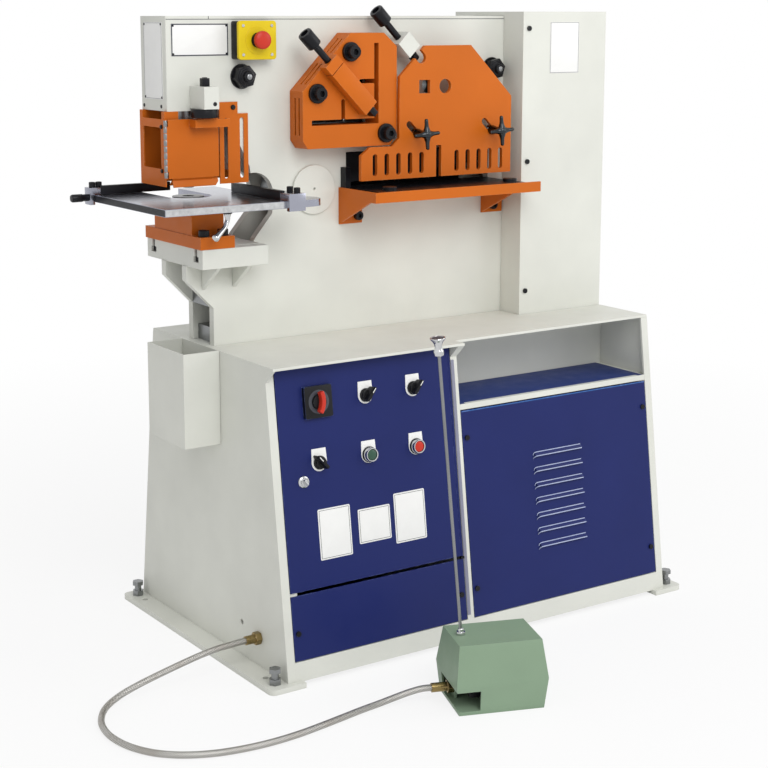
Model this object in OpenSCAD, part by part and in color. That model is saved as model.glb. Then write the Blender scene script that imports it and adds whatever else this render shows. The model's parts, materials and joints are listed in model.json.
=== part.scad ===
// Hydraulic ironworker: punch station, angle shear, bar shear and flat shear on one rocking beam.
// Origin at the centre of the anchor holes on the floor, +X to the right, +Y to the back, +Z up.

/* [Base cabinet] */
// Width over the side plates
base_w = 1100; // [1100:5:1160]
// Height of the base top above the floor
base_h = 695; // [685:1:760]
// Depth of the cabinet at the floor
base_bottom_d = 704; // [690:2:712]
// Depth of the cabinet at its top
base_top_d = 524; // [510:2:560]
// Thickness of the base sheet
base_sheet = 6; // [4:0.5:8]
// Thickness of the panels and doors
panel_t = 3; // [2:0.5:4]
// Length of each floor flange
flange_d = 730; // [720:5:800]
// Thickness of each floor flange
flange_t = 12; // [8:1:16]
// How far a floor flange stands out past its side plate
flange_reach = 50; // [45:1:70]
// How far the anchor holes lie outside the side plates
anchor_out = 23; // [20:1:26]
// Anchor hole spacing from front to back
anchor_span_y = 586; // [560:2:600]
// Anchor hole diameter
anchor_d = 14; // [10:1:18]

/* [Frame] */
// Height of the frame plates above the base top
frame_h = 725; // [722:1:732]
// Thickness across both frame plates
frame_t = 120; // [116:1:130]
// Thickness of one frame plate
frame_plate_t = 20; // [16:1:22]
// Reach of the head to the left of the origin
head_reach = 638; // [630:1:660]
// Width of the column cover
column_w = 264; // [250:2:266]
// Depth of the column cover
column_d = 274; // [250:2:300]
// Height of the column cover
column_h = 742; // [735:1:760]
// Thickness of the cover sheet
cover_t = 3; // [2:0.5:5]

/* [Drive] */
// Diameter of the beam pivot pin
pivot_d = 70; // [60:1:80]
// Thickness of the rocking beam
beam_t = 50; // [44:1:52]
// Diameter of the punch ram
ram_d = 64; // [56:1:68]
// Outside diameter of the hydraulic cylinder
cylinder_d = 72; // [64:1:76]
// Diameter of the cylinder rod
rod_d = 40; // [32:1:44]

/* [Punch station] */
// Punch diameter
punch_d = 26; // [16:1:30]
// Outside diameter of the die
die_d = 72; // [60:1:76]
// Height of the die
die_h = 30; // [24:1:36]
// Thickness of the punch table
table_t = 16; // [12:1:20]
// Length of the punch table from left to right
table_w = 316; // [300:2:340]
// Depth of the slug bin
bin_d = 176; // [150:2:190]
// Height of the slug bin
bin_h = 214; // [180:2:230]

/* [Shear stations] */
// Width of the angle shear housing
angle_w = 256; // [240:2:258]
// Height of the angle shear housing
angle_h = 258; // [240:2:264]
// Depth of the angle shear housing
angle_d = 56; // [48:1:60]
// Width of the angle slot
angle_slot = 12; // [8:1:16]
// Side of the square bar hole
square_hole = 31; // [20:1:36]
// Diameter of the round bar hole
round_hole_d = 34; // [20:1:38]
// Thickness of the flat shear guard
guard_plate_t = 10; // [6:1:12]
// Length of the shear tray
tray_w = 480; // [470:2:482]
// Depth of the shear tray
tray_d = 156; // [140:2:170]

/* [Controls] */
// Diameter of the emergency stop mushroom
estop_d = 40; // [30:1:44]
// Diameter of the selector knobs
selector_d = 30; // [24:1:34]
// Diameter of the push buttons
button_d = 24; // [18:1:28]

/* [Foot switch] */
// Width of the foot switch at the floor
foot_w = 186; // [170:2:200]
// Depth of the foot switch at the floor
foot_d = 142; // [130:2:160]
// Height of the foot switch
foot_h = 148; // [140:1:160]
// Outside diameter of the conduit hose
hose_d = 14; // [10:1:16]

/* [Hidden] */
$fn = 48;

// Shared clearances and the overrun of every cut
fit_gap = 0.3;
pin_gap = 0.1;
slot_gap = 1.6;
overrun = 2;

// Colours
white = "#dfe0d8";
orange = "#c8682a";
blue = "#2a2c63";
dark = "#1c1c20";
steel = "#8e9296";
chrome = "#c4c8cc";
green = "#8fa88e";
brass = "#b08d4a";

// Base levels and the sloping front plane
side_x = base_w / 2;
flange_x = side_x + flange_reach;
flange_w = 87;
anchor_span_x = base_w + 2 * anchor_out;
base_under_z = base_h - base_sheet;
front_tilt = atan((base_bottom_d - base_top_d) / 2 / base_h);
strip_w = 20;
ledge_w = 20;
panel_gap = 2;
divider_x = -53;
divider_w = 18;
rail_z = 53;
lower_panel_top = 195;
door_bottom = 203;
door_top = base_h - 14;
hood_low = base_h - 36;
hood_reach = 36;
shelf_lip_low = base_h - 160;
shelf_z = base_h - 149;
shelf_lip_top = base_h - 147;
shelf_back_y = -95;
pan_t = 4;
pan_inset = 40;
flange_corner_r = 14;
level_span_y = 666;
level_r = 8;
level_hex_r = 14;
level_nut_h = 13;
level_head_z = 38;
level_head_h = 10;
gland_y = -228;
gland_z = 78;
gland_bore_r = 9;
spare_hole_y = -150;
spare_hole_z = 90;
spare_hole_r = 6;
bin_bolt_z = base_h - 55;
bin_bolt_r = 4;

function front_y(z) = z * tan(front_tilt) - base_bottom_d / 2;
left_bay = [-side_x + strip_w, divider_x - divider_w / 2];
right_bay = [divider_x + divider_w / 2, side_x - strip_w];

// Frame levels
frame_front = -10;
frame_back = frame_front + frame_t;
gap_front = frame_front + frame_plate_t;
gap_back = frame_back - frame_plate_t;
mid_y = (frame_front + frame_back) / 2;
frame_top = base_h + frame_h;
stations_h = 725;
level = frame_top - stations_h;
head_low = level + 528;
throat_turn_x = -500;
throat_top = [-436, level + 401];
throat_x = -375;
throat_arc_r = 50;
throat_z = level + 335;
throat_low = [-378, level + 290];
jaw_inner = [-427, level + 233];
jaw_x = -600;
jaw_z = level + 187;
jaw_low_z = level + 154;
frame_left_x = -533;
frame_left_share = 0.5584;
frame_left_z = base_h + frame_left_share * (jaw_low_z - base_h);
frame_right_x = 520;
column_x = 284;
top_cover_t = 7;
tie_places = [[-454, level + 600], [247, level + 605]];
tie_r = 12;
tie_nut_r = 26;
tie_nut_h = 20;
tie_washer_r = 30;
tie_washer_t = 4;
tie_end = 14;
boss_x = [-583, -547];
boss_z = [level + 534, level + 582];
boss_reach = 67;
collar_r = 30;
collar_h = 20;
hold_block = [45, 40];
hold_block_reach = 60;

// Pivot, beam and drive
pivot = [-268, level + 338];
pivot_cap_r = 57;
pivot_cap_t = 6;
pivot_hub_r = 92;
pivot_mark_r = 3;
pivot_mark_z = 2;
beam_front = mid_y - beam_t / 2;
beam_back = mid_y + beam_t / 2;
punch_x = -560;
ram_pin_z = level + 661;
ram_pin_r = 12;
ram_slot = 34;
ram_low = level + 477;
ram_fork_low = level + 583;
fork_base = 14;
fork_cheek_t = 9;
ram_fork_top = level + 679;
ram_fork_w = 50;
guide_top = level + 555;
guide_side = 60;
cylinder_x = 420;
cylinder_low = base_h + 35;
cylinder_top = level + 335;
cylinder_wall = 6;
cylinder_cap_t = 14;
piston_z = [level + 185, level + 215];
rod_fork_low = level + 395;
rod_pin_z = level + 475;
rod_fork_top = level + 499;
rod_fork_w = 52;
rod_slot = 14;
beam_left_x = -592;
beam_left_z = [level + 630, level + 691];
beam_crown = [-330, level + 697];
beam_crown_end = [100, level + 691];
beam_shoulder = [195, level + 635];
beam_notch_z = level + 543;
beam_right_x = 470;
beam_right_z = [level + 427, level + 531];
beam_arm_low = [-405, level + 630];
beam_lap = 4;
beam_root = 50;

// Shear places
blade_x = [-170, 230];
blade_edge_z = [level + 345, level + 380];
blade_top_z = level + 417;
window_x = [-178, 240];
window_z = [level + 309, level + 420];
bed_z = level + 339;
bed_t = 8;
blade_shear_gap = 0.3;
window_relief = 12;
angle_x = -329;
angle_z = level + 436;
angle_corner = [-130, level + 494];
angle_slot_top = level + 671;
angle_slot_left = -305;
angle_relief = 6;
angle_tee = [-221, level + 541];
angle_tee_side = [-172, level + 585];
angle_outline_shares = [[0, 0.5], [0.5, 1], [0.86, 1], [1, 0.88], [1, 0.11], [0.93, 0], [0.05, 0], [0,
    0.07]];
angle_bolts = [[-202, level + 652], [-292, level + 560], [-105, level + 465]];
square_place = [0, level + 569];
round_place = [60, level + 569];
bar_relief = 4;
guard_x = -178;
guard_z = level + 357;
guard_w = 437;
guard_h = 307;
guard_face_y = -75;
guard_outline_shares = [[0.41, 1], [0.716, 1], [1, 0.6], [1, 0], [0, 0], [0, 0.19], [0.057, 0.25],
    [0.197, 0.25], [0.243, 0.31], [0.245, 0.77], [0.334, 0.89]];
stud_places = [[-22, level + 461], [199, level + 461]];
stud_r = 6;
stud_end_y = -116;
stud_sleeve_r = 12;
guard_slot_run = 30;
guard_slot_r = 8;
guard_vent_first_x = [-140, 95];
guard_vent_count = 5;
guard_vent_pitch = 33;
guard_vent_z = [level + 373, level + 411];
guard_vent_r = 6.5;
guard_center_x = 42;
guard_center_w = 15;
guard_center_h = 74;
hold_notch_w = 26;
hold_notch_run = 30;

// Hold-down screws, both along the 45 degree line down to the right
hold_angle = 45;
bar_start = [-252, level + 614];
bar_l = 127;
bar_w = 42;
bar_d = 28;
bar_tip_l = 20;
bar_tip_w = 14;
lug_run = [-26, -2];
screw_r = 8;
screw_l = 74;
screw_head_r = 17;
screw_head_l = 40;
hold_center = [-40, level + 666];
hold_screw_y = -46;
hold_screw_up = 72;
hold_screw_down = 34;
hold_pad_r = 11;
hold_pad_l = 14;
cap_r = 22;
cap_h = 20;
cap_shank_r = 10;
cap_shank_l = 12;

// Shear tray
tray_x = -199;
tray_sheet = 6;
tray_lip_h = 24;
tray_foot_z = level + 253;
tray_foot_w = 62;
tray_bolt_z = level + 271;
tray_bolt_x = [-150, 250];
tray_bolt_r = 11;
side_block_w = 14;
side_block_d = 22;
side_block_h = 47;
clamp_disc_r = 17;
clamp_disc_h = 7;
clamp_disc_x = [-130, 222];
clamp_disc_y = -120;

// Punch station
t_block_x = [-598, -432];
t_block_y = [-84, 184];
t_block_h = 44;
t_slot_y = [-52, 152];
t_slot_neck = 12;
t_slot_foot = 24;
t_slot_foot_h = 12;
t_slot_depth = 30;
rib_x = [-557, -479];
rib_t = 10;
rib_h = 57;
slug_r = 26;
holder_x = [-602, -517];
holder_flange_h = 27;
holder_block_x = [-600, -520];
holder_block_y = [-40, 140];
die_top = level + 336;
table_x = -729;
table_y = [-170, 200];
table_cut_r = 52;
table_ear_w = 79;
table_ear_d = 67;
holder_screw_y = -64;
holder_screw_x = [-583, -536];
holder_screw_r = 12;
holder_screw_h = 14;
fence_h = 20;
fence_t = 12;
fence_clamp_h = 22;
fence_clamp_w = 30;
fence_side_x = -430;
fence_side_y = [-143, 76];
fence_back_y = 180;
fence_back_x = [-716, -541];
fence_rod_r = 9;
fence_rod_l = 40;
fence_screw_r = 8;
fence_screw_h = 12;
lever_place = [-548, -108];
lever_hub_r = 11;
lever_hub_l = 26;
lever_arm_l = 62;
lever_arm_r = 6;
lever_ball_r = 9;
bin_w = 90;
bin_x = [-side_x - fit_gap - bin_w, -side_x - fit_gap];
bin_top = base_h + 1;
bin_y = -66;
bin_wall = 3;
bin_lift = 80;
bolt_head_r = 8;
bolt_head_t = 5;
bolt_hole_gap = 0.5;

// Punch guard
guard_box_x = [-646, -518];
guard_box_y = [-15, 109];
guard_box_z = [level + 383, level + 511];
guard_sheet = 3;
guard_window_y = [8, 92];
guard_window_z = [level + 403, level + 493];
hinge_r = 4;
hinge_pin_r = 2;
hinge_knuckle = 15;
guard_lip = 16;
guard_lip_inset = 14;
hanger_w = 34;
hanger_d = 14;
tab_x = [-590, -505];
tab_y = -48;
tab_t = 6;
tab_h = 18;
bracket_x = [-512, -440];
bracket_z = [level + 365, level + 519];
bracket_tab_z = level + 545;
bracket_tab_w = 46;
bracket_slot_x = [-496, -456];
bracket_slot_r = 5;
bracket_slot_z = [level + 381, level + 505];

// Controls
estop_x = [-479, -383];
estop_z = [level + 637, level + 722];
estop_box_d = 35;
estop_place = [-431, level + 680];
estop_stem_r = 11;
estop_head_h = 14;
estop_stem_l = 16;
door_w = left_bay[1] - left_bay[0];
switch_share = 0.2179;
switch_place = [left_bay[0] + switch_share * door_w, base_h - 90];
switch_plate = 70;
switch_plate_t = 10;
switch_hub_r = 18;
switch_hub_h = 8;
switch_grip_l = 44;
switch_grip_w = 12;
switch_grip_h = 12;
selector_shares = [0.4893, 0.7628, 0.2094];
selector_z = [base_h - 92, base_h - 92, base_h - 222];
selector_places = [for (i = [0 : 2]) [left_bay[0] + selector_shares[i] * door_w, selector_z[i]]];
button_shares = [0.485, 0.7585];
button_places = [for (s = button_shares) [left_bay[0] + s * door_w, base_h - 223]];
selector_h = 12;
selector_grip_w_share = 0.34;
selector_grip_h = 14;
button_h = 10;
stem_r = 6;
stem_l = 14;
lock_share = 0.1175;
lock_place = [left_bay[0] + lock_share * door_w, base_h - 258];
lock_r = 13;
lock_t = 5;
lock_key_l = 16;
lock_key_w = 6;
lock_key_h = 9;
lock_cam_l = 24;
lock_cam_w = 12;
lock_cam_t = 4;
door_proud = 0.8;
door_hinge_r = 3.4;
door_pin_r = 2;
hinge_gap = 1.5;
hinge_lug_h = 5;

// Small screws
screw_small_r = 6;
screw_small_h = 4;
screw_shank_r = 3;
screw_edge = 12;
louvre_count = 7;
louvre_w = 142;
louvre_pitch = 36;
louvre_h = 8;
louvre_reach = 7;
louvre_x = 236;
louvre_first_z = 186;
louvre_slot_h = 4;
column_screw_inset = 17;
column_screw_z = [base_h + 59, base_h + 380, base_h + 702];

// Hydraulics and electrics inside the base
tank_x = [20, 500];
tank_y = [-60, 300];
tank_top = 290;
tank_wall = 4;
tank_port_r = 40;
motor_x = [190, 430];
motor_r = 75;
motor_y = 120;
motor_foot_h = 20;
motor_foot_w = 110;
pump_r = 42;
pump_l = 110;
coupling_r = 30;
coupling_l = 30;
electric_x = -190;
electric_y = [-40, 200];
electric_z = [250, base_h - 95];
electric_wall = 2;

// Foot switch, turned on the floor in front of the machine
foot_place = [-216, -630];
foot_turn = -20;
foot_wall = 4;
foot_base_t = 8;
foot_bulge = 7;
foot_bulge_z = 68;
foot_top_inset_w = 3;
foot_top_inset_d = 10;
foot_mouth_h = 52;
foot_mouth_w = 46;
pedal_x = [-60, 52];
pedal_d = 88;
pedal_t = 10;
pedal_z = 26;
pedal_pivot_r = 5;
foot_rod_base = [-68, 4];
foot_rod_lean = 5.9;
foot_rod_r = 3.5;
foot_rod_l = 604;
foot_knob_r = 15;
foot_knob_h = 38;
foot_nut_r = 12;
foot_nut_h = 8;

// Conduit hose route: out of the side plate, down to the floor, round in a loop to the foot switch
gland_reach = 36;
hose_x = -side_x - gland_reach;
hose_route = [[hose_x, gland_y, gland_z], [hose_x - 16, gland_y, gland_z], [hose_x - 36, gland_y,
    gland_z - 1],
    [hose_x - 66, gland_y + 1, gland_z - 3], [hose_x - 106, gland_y + 3, gland_z - 9],
    [-740, -222, 58], [-790, -220, 46], [-840, -220, 34], [-888, -227, 23], [-930, -248, 14],
    [-958, -286, 9], [-972, -332, 8], [-974, -382, 8], [-962, -436, 8], [-934, -486, 8], [-892, -524, 8],
    [-840, -550, 8], [-784, -564, 8], [-724, -570, 8], [-660, -568, 8], [-600, -560, 8], [-540, -550, 8],
    [-488, -541, 8], [-444, -537, 9], [-410, -540, 14], [-384, -548, 21], [-362, -557, 27],
    [-346, -564, 30], [-331, -570, 30]];
hose_sides = 10;
hose_rings_per_leg = 2;
gland_l = 30;
gland_tail_l = 10;
gland_hex_r = 15;
gland_hex_l = 14;
gland_nose_r = 10;

// Further small sizes
lower_screw_z = 114;
louvred_screw_z = [120, 470];
nose_t = 12;
foot_spacer_x = [-520, -40, 380];
foot_spacer_w = 80;
blade_step = 2;
coupling_nut_r = 38;
coupling_nut_h = 46;
punch_rise = 19;
lever_stem_r = 6;
lever_stem_l = 14;
lever_tilt = 140;
lever_turn = 200;
cap_socket_share = 0.5;
sight_depth_shares = [0.3, 0.6];
sight_low = 30;
sight_h = 84;
sight_w = 6;
sight_depth = 16;
sight_runs = [[22, 86], [120, 164]];
angle_tee_r = 5;
knob_hub_r = 12;
knob_cap_t = 10;
knob_arm_r = 7;
knob_arm_l = 24;
selector_turn = 40;
button_travel = 5;
gland_tab_x = -80;
foot_gland_y = 17;
foot_gland_z = 30;
foot_hose_x = -128.5;

// Shape helpers
module along_y(y0, y1) {
    translate([0, y1, 0]) rotate([90, 0, 0]) linear_extrude(y1 - y0) children();
}
module along_x(x0, x1) {
    translate([x0, 0, 0]) rotate([90, 0, 90]) linear_extrude(x1 - x0) children();
}
module block(lo, hi) {
    translate(lo) cube(hi - lo);
}
module rod_y(place, r, y0, y1) {
    along_y(y0, y1) translate(place) circle(r);
}
module rod_z(x, y, r, z0, z1) {
    translate([x, y, z0]) cylinder(r = r, h = z1 - z0);
}
module rod_x(y, z, r, x0, x1) {
    along_x(x0, x1) translate([y, z]) circle(r);
}
// Round-ended slot between two points
module slot2d(a, b, r) {
    run = norm(b - a);
    translate(a) rotate(atan2(b[1] - a[1], b[0] - a[0])) {
        translate([0, -r]) square([run, 2 * r]);
        circle(r);
        translate([run, 0]) circle(r);
    }
}
// Sheet lying in the sloping front plane, between two depths behind it
module front_sheet(x0, x1, z0, z1, d0, d1) {
    along_x(x0, x1) polygon([[front_y(z0) + d0, z0], [front_y(z0) + d1, z0],
        [front_y(z1) + d1, z1], [front_y(z1) + d0, z1]]);
}
module front_and_back() {
    children();
    mirror([0, 1, 0]) children();
}
// Local frame on the sloping front: x right, y up the slope, z out of the face
module on_front(place, out = 0) {
    translate([place[0], front_y(place[1]), place[1]]) rotate([90 - front_tilt, 0, 0])
        translate([0, 0, out]) children();
}
door_face = door_proud * cos(front_tilt);
hinge_x = left_bay[1] - panel_gap - door_hinge_r;
hinge_depth = panel_t / 2 - door_proud;
// Local frame along a 45 degree hold-down: x down the screw, y across it, z to the front
module on_hold(place, y) {
    translate([place[0], y, place[1]]) rotate([90, 0, 0]) rotate(-hold_angle) children();
}
function scaled(shares, size) = [for (s = shares) [s[0] * size[0], s[1] * size[1]]];
function foot_point(p) = [
    foot_place[0] + p[0] * cos(foot_turn) - p[1] * sin(foot_turn),
    foot_place[1] + p[0] * sin(foot_turn) + p[1] * cos(foot_turn)];
module on_foot() {
    translate([foot_place[0], foot_place[1], 0]) rotate(foot_turn) children();
}

// Base cabinet
module flange(side) {
    x0 = flange_x - flange_w;
    half = flange_d / 2;
    difference() {
        scale_x(side) difference() {
            block([x0, -half, 0], [flange_x, half, flange_t]);
            for (y = [-1, 1]) translate([flange_x, y * half, 0]) corner_cut(y);
        }
        for (y = [-1, 1]) {
            rod_z(side * anchor_span_x / 2, y * anchor_span_y / 2, anchor_d / 2, -overrun,
                flange_t + overrun);
            rod_z(side * anchor_span_x / 2, y * level_span_y / 2, level_r + fit_gap, -overrun,
                flange_t + overrun);
        }
    }
}
module scale_x(side) {
    if (side > 0) children();
    else mirror([1, 0, 0]) children();
}
// Rounds one outer corner of a flange
module corner_cut(y) {
    difference() {
        translate([-flange_corner_r, y > 0 ? -flange_corner_r : -overrun, -overrun])
            cube([flange_corner_r + overrun, flange_corner_r + overrun, flange_t + 2 * overrun]);
        translate([-flange_corner_r, -y * flange_corner_r, -2 * overrun])
            cylinder(r = flange_corner_r, h = flange_t + 4 * overrun);
    }
}
module base_frame() {
    pan_y = base_bottom_d / 2 - pan_inset;
    web_x = divider_x - base_sheet / 2;
    web_front = [for (z = [flange_t, base_under_z]) front_y(z) + base_sheet / 2];
    color(white) {
        for (side = [-1, 1]) flange(side);
        front_and_back() front_sheet(left_bay[0], right_bay[1], flange_t - overrun, rail_z, 0, base_sheet);
        block([left_bay[0], -pan_y, flange_t - overrun], [right_bay[1], pan_y, flange_t + pan_t]);
        along_x(web_x, web_x + base_sheet) polygon([[web_front[0], flange_t], [-web_front[0], flange_t],
            [-web_front[1], base_under_z], [web_front[1], base_under_z]]);
        front_sheet(left_bay[1], right_bay[0], rail_z, base_under_z, 0, base_sheet);
    }
}
module side_plate() {
    color(white) difference() {
        union() {
            along_x(side_x - base_sheet, side_x) polygon([
                [front_y(flange_t), flange_t], [-front_y(flange_t), flange_t],
                [-front_y(base_under_z), base_under_z], [front_y(base_under_z), base_under_z]]);
            front_and_back() {
                front_sheet(side_x - strip_w, side_x, flange_t, base_under_z, 0, base_sheet);
                front_sheet(side_x - strip_w - ledge_w, side_x - strip_w, rail_z, shelf_lip_low,
                    panel_t, base_sheet);
            }
        }
        children();
    }
}
module side_plates() {
    side_plate();
    mirror([1, 0, 0]) side_plate() {
        rod_x(gland_y, gland_z, gland_bore_r, side_x - strip_w, side_x + overrun);
        rod_x(spare_hole_y, spare_hole_z, spare_hole_r, side_x - strip_w, side_x + overrun);
        rod_x(bin_mid_y, bin_bolt_z, bin_bolt_r + fit_gap, side_x - strip_w, side_x + overrun);
    }
}
bin_mid_y = bin_y + bin_d / 2;
module top_plate() {
    half = base_top_d / 2;
    tip = -half - hood_reach;
    back = front_y(base_under_z);
    color(white) {
        translate([0, 0, base_under_z]) linear_extrude(base_sheet) polygon([[-side_x, tip],
            [right_bay[0], tip], [right_bay[0], -half], [side_x, -half], [side_x, half], [-side_x, half]]);
        // Beaks under the ends of the hood
        for (x = [[-side_x, base_sheet - side_x], [left_bay[1], right_bay[0]]]) along_x(x[0], x[1])
            polygon([[tip, base_under_z + base_sheet / 2], [tip, base_under_z], [front_y(hood_low), hood_low],
                [back, base_under_z], [back, base_under_z + base_sheet / 2]]);
    }
}
module back_panel() {
    color(white) mirror([0, 1, 0])
        front_sheet(left_bay[0] + panel_gap, right_bay[1] - panel_gap, rail_z + panel_gap,
            base_under_z - panel_gap, 0, panel_t);
}
module storage_shelf() {
    web_x = divider_x + base_sheet / 2;
    wall_x = side_x - base_sheet;
    color(white) {
        block([web_x, front_y(shelf_z) + base_sheet, shelf_z - base_sheet], [wall_x, shelf_back_y,
            shelf_z]);
        block([web_x, shelf_back_y - base_sheet, shelf_z - base_sheet], [wall_x, shelf_back_y,
            base_under_z]);
        front_sheet(right_bay[0] + ledge_w, right_bay[1] - ledge_w, shelf_lip_low, shelf_lip_top, 0,
            2 * base_sheet);
        front_sheet(right_bay[0], right_bay[1], shelf_lip_low, shelf_lip_top, 0, panel_t);
    }
}
module louvred_panel() {
    x0 = right_bay[0] + panel_gap;
    x1 = right_bay[1] - panel_gap;
    color(blue) difference() {
        union() {
            front_sheet(x0, x1, rail_z + panel_gap, shelf_lip_low - panel_gap, 0, panel_t);
            for (i = [0 : louvre_count - 1]) louvre(louvre_first_z + i * louvre_pitch);
        }
        for (i = [0 : louvre_count - 1])
            on_front([louvre_x, louvre_first_z + i * louvre_pitch - louvre_slot_h])
                translate([-louvre_w / 2, -louvre_slot_h / 2, -panel_t - overrun])
                    cube([louvre_w, louvre_slot_h, panel_t + 2 * overrun]);
        at_louvred_screws() translate([0, 0, -panel_t - overrun])
            cylinder(r = screw_shank_r + fit_gap, h = panel_t + 2 * overrun);
    }
}
// Pressed hood over one louvre slot
module louvre(z) {
    on_front([louvre_x, z]) rotate([90, 0, 90]) translate([0, 0, -louvre_w / 2]) linear_extrude(louvre_w)
        polygon([[-louvre_h / 2, -panel_t / 2], [-louvre_h / 2, louvre_reach], [louvre_h, 0],
            [louvre_h, -panel_t / 2]]);
}
module at_louvred_screws() {
    x0 = right_bay[0] + panel_gap + screw_edge;
    x1 = right_bay[1] - panel_gap - screw_edge;
    for (x = [x0, x1], z = louvred_screw_z) on_front([x, z]) children();
}
module lower_panel() {
    color(blue) difference() {
        front_sheet(left_bay[0] + panel_gap, left_bay[1] - panel_gap, rail_z + panel_gap,
            lower_panel_top, 0, panel_t);
        at_lower_screws() translate([0, 0, -panel_t - overrun])
            cylinder(r = screw_shank_r + fit_gap, h = panel_t + 2 * overrun);
    }
}
module at_lower_screws() {
    for (x = [left_bay[0] + panel_gap + screw_edge, left_bay[1] - panel_gap - screw_edge])
        on_front([x, lower_screw_z]) children();
}
module at_column_screws() {
    for (z = column_screw_z) translate([column_x + column_screw_inset, column_front, z]) rotate([90, 0,
        0]) children();
}
module small_screw(grip) {
    cylinder(r = screw_small_r, h = screw_small_h);
    translate([0, 0, -grip]) cylinder(r = screw_shank_r, h = grip);
}
module cover_screws() {
    color(dark) {
        at_louvred_screws() small_screw(panel_t - fit_gap);
        at_lower_screws() small_screw(panel_t - fit_gap);
        at_column_screws() small_screw(cover_t);
        // Hinge pin of the control door and the lugs that hold it
        hinge_rod(door_pin_r, door_bottom - hinge_gap - hinge_lug_h, door_top + hinge_gap + hinge_lug_h);
        for (z = [door_bottom - hinge_gap - hinge_lug_h, door_top + hinge_gap]) hinge_lug(z);
    }
    color(steel) {
        rod_x(bin_mid_y, bin_bolt_z, bin_bolt_r, -side_x - bin_wall - bolt_hole_gap - panel_gap,
            -side_x + base_sheet);
        rod_x(bin_mid_y, bin_bolt_z, bolt_head_r, -side_x - bin_wall - bolt_head_t - panel_gap,
            -side_x - bin_wall - panel_gap);
    }
}
module levelling_bolts() {
    color(steel) for (x = [-1, 1], y = [-1, 1]) translate([x * anchor_span_x / 2, y * level_span_y / 2,
        0]) {
        translate([0, 0, fit_gap]) cylinder(r = level_r, h = level_head_z);
        translate([0, 0, flange_t]) cylinder(r = level_hex_r, h = level_nut_h, $fn = 6);
        translate([0, 0, level_head_z]) cylinder(r = level_hex_r, h = level_head_h, $fn = 6);
    }
}

// Frame
module frame_outline() {
    difference() {
        polygon([[frame_left_x, base_h], [frame_right_x, base_h], [frame_right_x, frame_top],
            [-head_reach, frame_top],
            [-head_reach, head_low], [throat_turn_x, head_low], throat_top, [throat_x - throat_arc_r,
                throat_z],
            [throat_x - throat_arc_r, jaw_inner[1]], [jaw_inner[0], jaw_inner[1]], [jaw_inner[0],
                jaw_z], [jaw_x, jaw_z],
            [jaw_x, jaw_low_z], [frame_left_x, frame_left_z]]);
        translate([throat_x - throat_arc_r, throat_z]) circle(throat_arc_r);
        polygon([[throat_x - throat_arc_r, throat_z], [throat_x, throat_z], throat_low, jaw_inner,
            [jaw_inner[0], jaw_z]]);
    }
}
// L-shaped slot for angle bar, grown by a relief
module angle_slot2d(relief) {
    half = angle_slot / 2 + relief;
    translate([angle_corner[0] - half, angle_corner[1] - half]) square([2 * half,
        angle_slot_top - angle_corner[1] + half + relief]);
    translate([angle_slot_left - relief,
        angle_corner[1] - half]) square([angle_corner[0] - angle_slot_left + half + relief, 2 * half]);
}
module bar_holes2d(relief) {
    translate(square_place) square(square_hole + 2 * relief, center = true);
    translate(round_place) circle(round_hole_d / 2 + relief);
}
module frame_holes2d(relief) {
    angle_slot2d(angle_relief + relief);
    bar_holes2d(bar_relief + relief);
    for (p = tie_places) translate(p) circle(tie_r + fit_gap);
    translate(pivot) circle(pivot_d / 2 + pin_gap);
}
module front_plate() {
    color(white) difference() {
        union() {
            along_y(frame_front, gap_front) difference() {
                frame_outline();
                frame_holes2d(0);
                translate([window_x[0], window_z[0]]) square([window_x[1] - window_x[0],
                    window_z[1] - window_z[0]]);
            }
            block([boss_x[0], frame_front - boss_reach, boss_z[0]], [boss_x[1], frame_front, boss_z[1]]);
            on_hold(hold_center, frame_front) translate([-hold_block[0] / 2, -hold_block[1] / 2, 0])
                cube([hold_block[0], hold_block[1], hold_block_reach]);
        }
        on_hold(hold_center, hold_screw_y) rotate([0, 90, 0]) translate([0, 0, -hold_block[0]])
            cylinder(r = screw_r + fit_gap, h = 2 * hold_block[0]);
        for (p = stud_places) rod_y(p, stud_r + fit_gap, frame_front - overrun, gap_front + overrun);
    }
}
module rear_plate() {
    color(white) along_y(gap_back, frame_back) difference() {
        frame_outline();
        frame_holes2d(window_relief);
        translate([window_x[0], window_z[0]]) square([window_x[1] - window_x[0],
            window_z[1] - window_z[0]]);
    }
}
module frame_spacers() {
    color(steel) {
        // Nose of the head
        block([-head_reach, gap_front, guide_top + nose_t], [-head_reach + nose_t, gap_back, frame_top]);
        // Ram guide
        difference() {
            block([-head_reach, gap_front, head_low], [punch_x + guide_side, gap_back, guide_top]);
            rod_z(punch_x, mid_y, ram_d / 2 + pin_gap, head_low - overrun, guide_top + overrun);
        }
        // Jaw block under the T-slot block
        block([frame_left_x, gap_front, frame_left_z], [jaw_inner[0], gap_back, jaw_z]);
        // Feet of the frame and the seat of the cylinder
        for (x = foot_spacer_x) block([x, gap_front, base_h], [x + foot_spacer_w, gap_back,
            cylinder_low]);
    }
}
column_front = mid_y - column_d / 2;
column_back = mid_y + column_d / 2;
module frame_covers() {
    color(white) {
        block([-head_reach, frame_front, frame_top], [column_x, frame_back, frame_top + top_cover_t]);
        difference() {
            block([column_x, column_front, base_h], [column_x + column_w, column_back,
                base_h + column_h]);
            block([column_x + cover_t, column_front + cover_t, base_h - overrun],
                [column_x + column_w - cover_t, column_back - cover_t, base_h + column_h - cover_t]);
            block([column_x - overrun, frame_front - fit_gap, base_h - overrun],
                [column_x + cover_t + overrun, frame_back + fit_gap, frame_top + top_cover_t + fit_gap]);
            at_column_screws() translate([0, 0, -cover_t - overrun])
                cylinder(r = screw_shank_r + fit_gap, h = cover_t + 2 * overrun);
        }
    }
}
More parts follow.
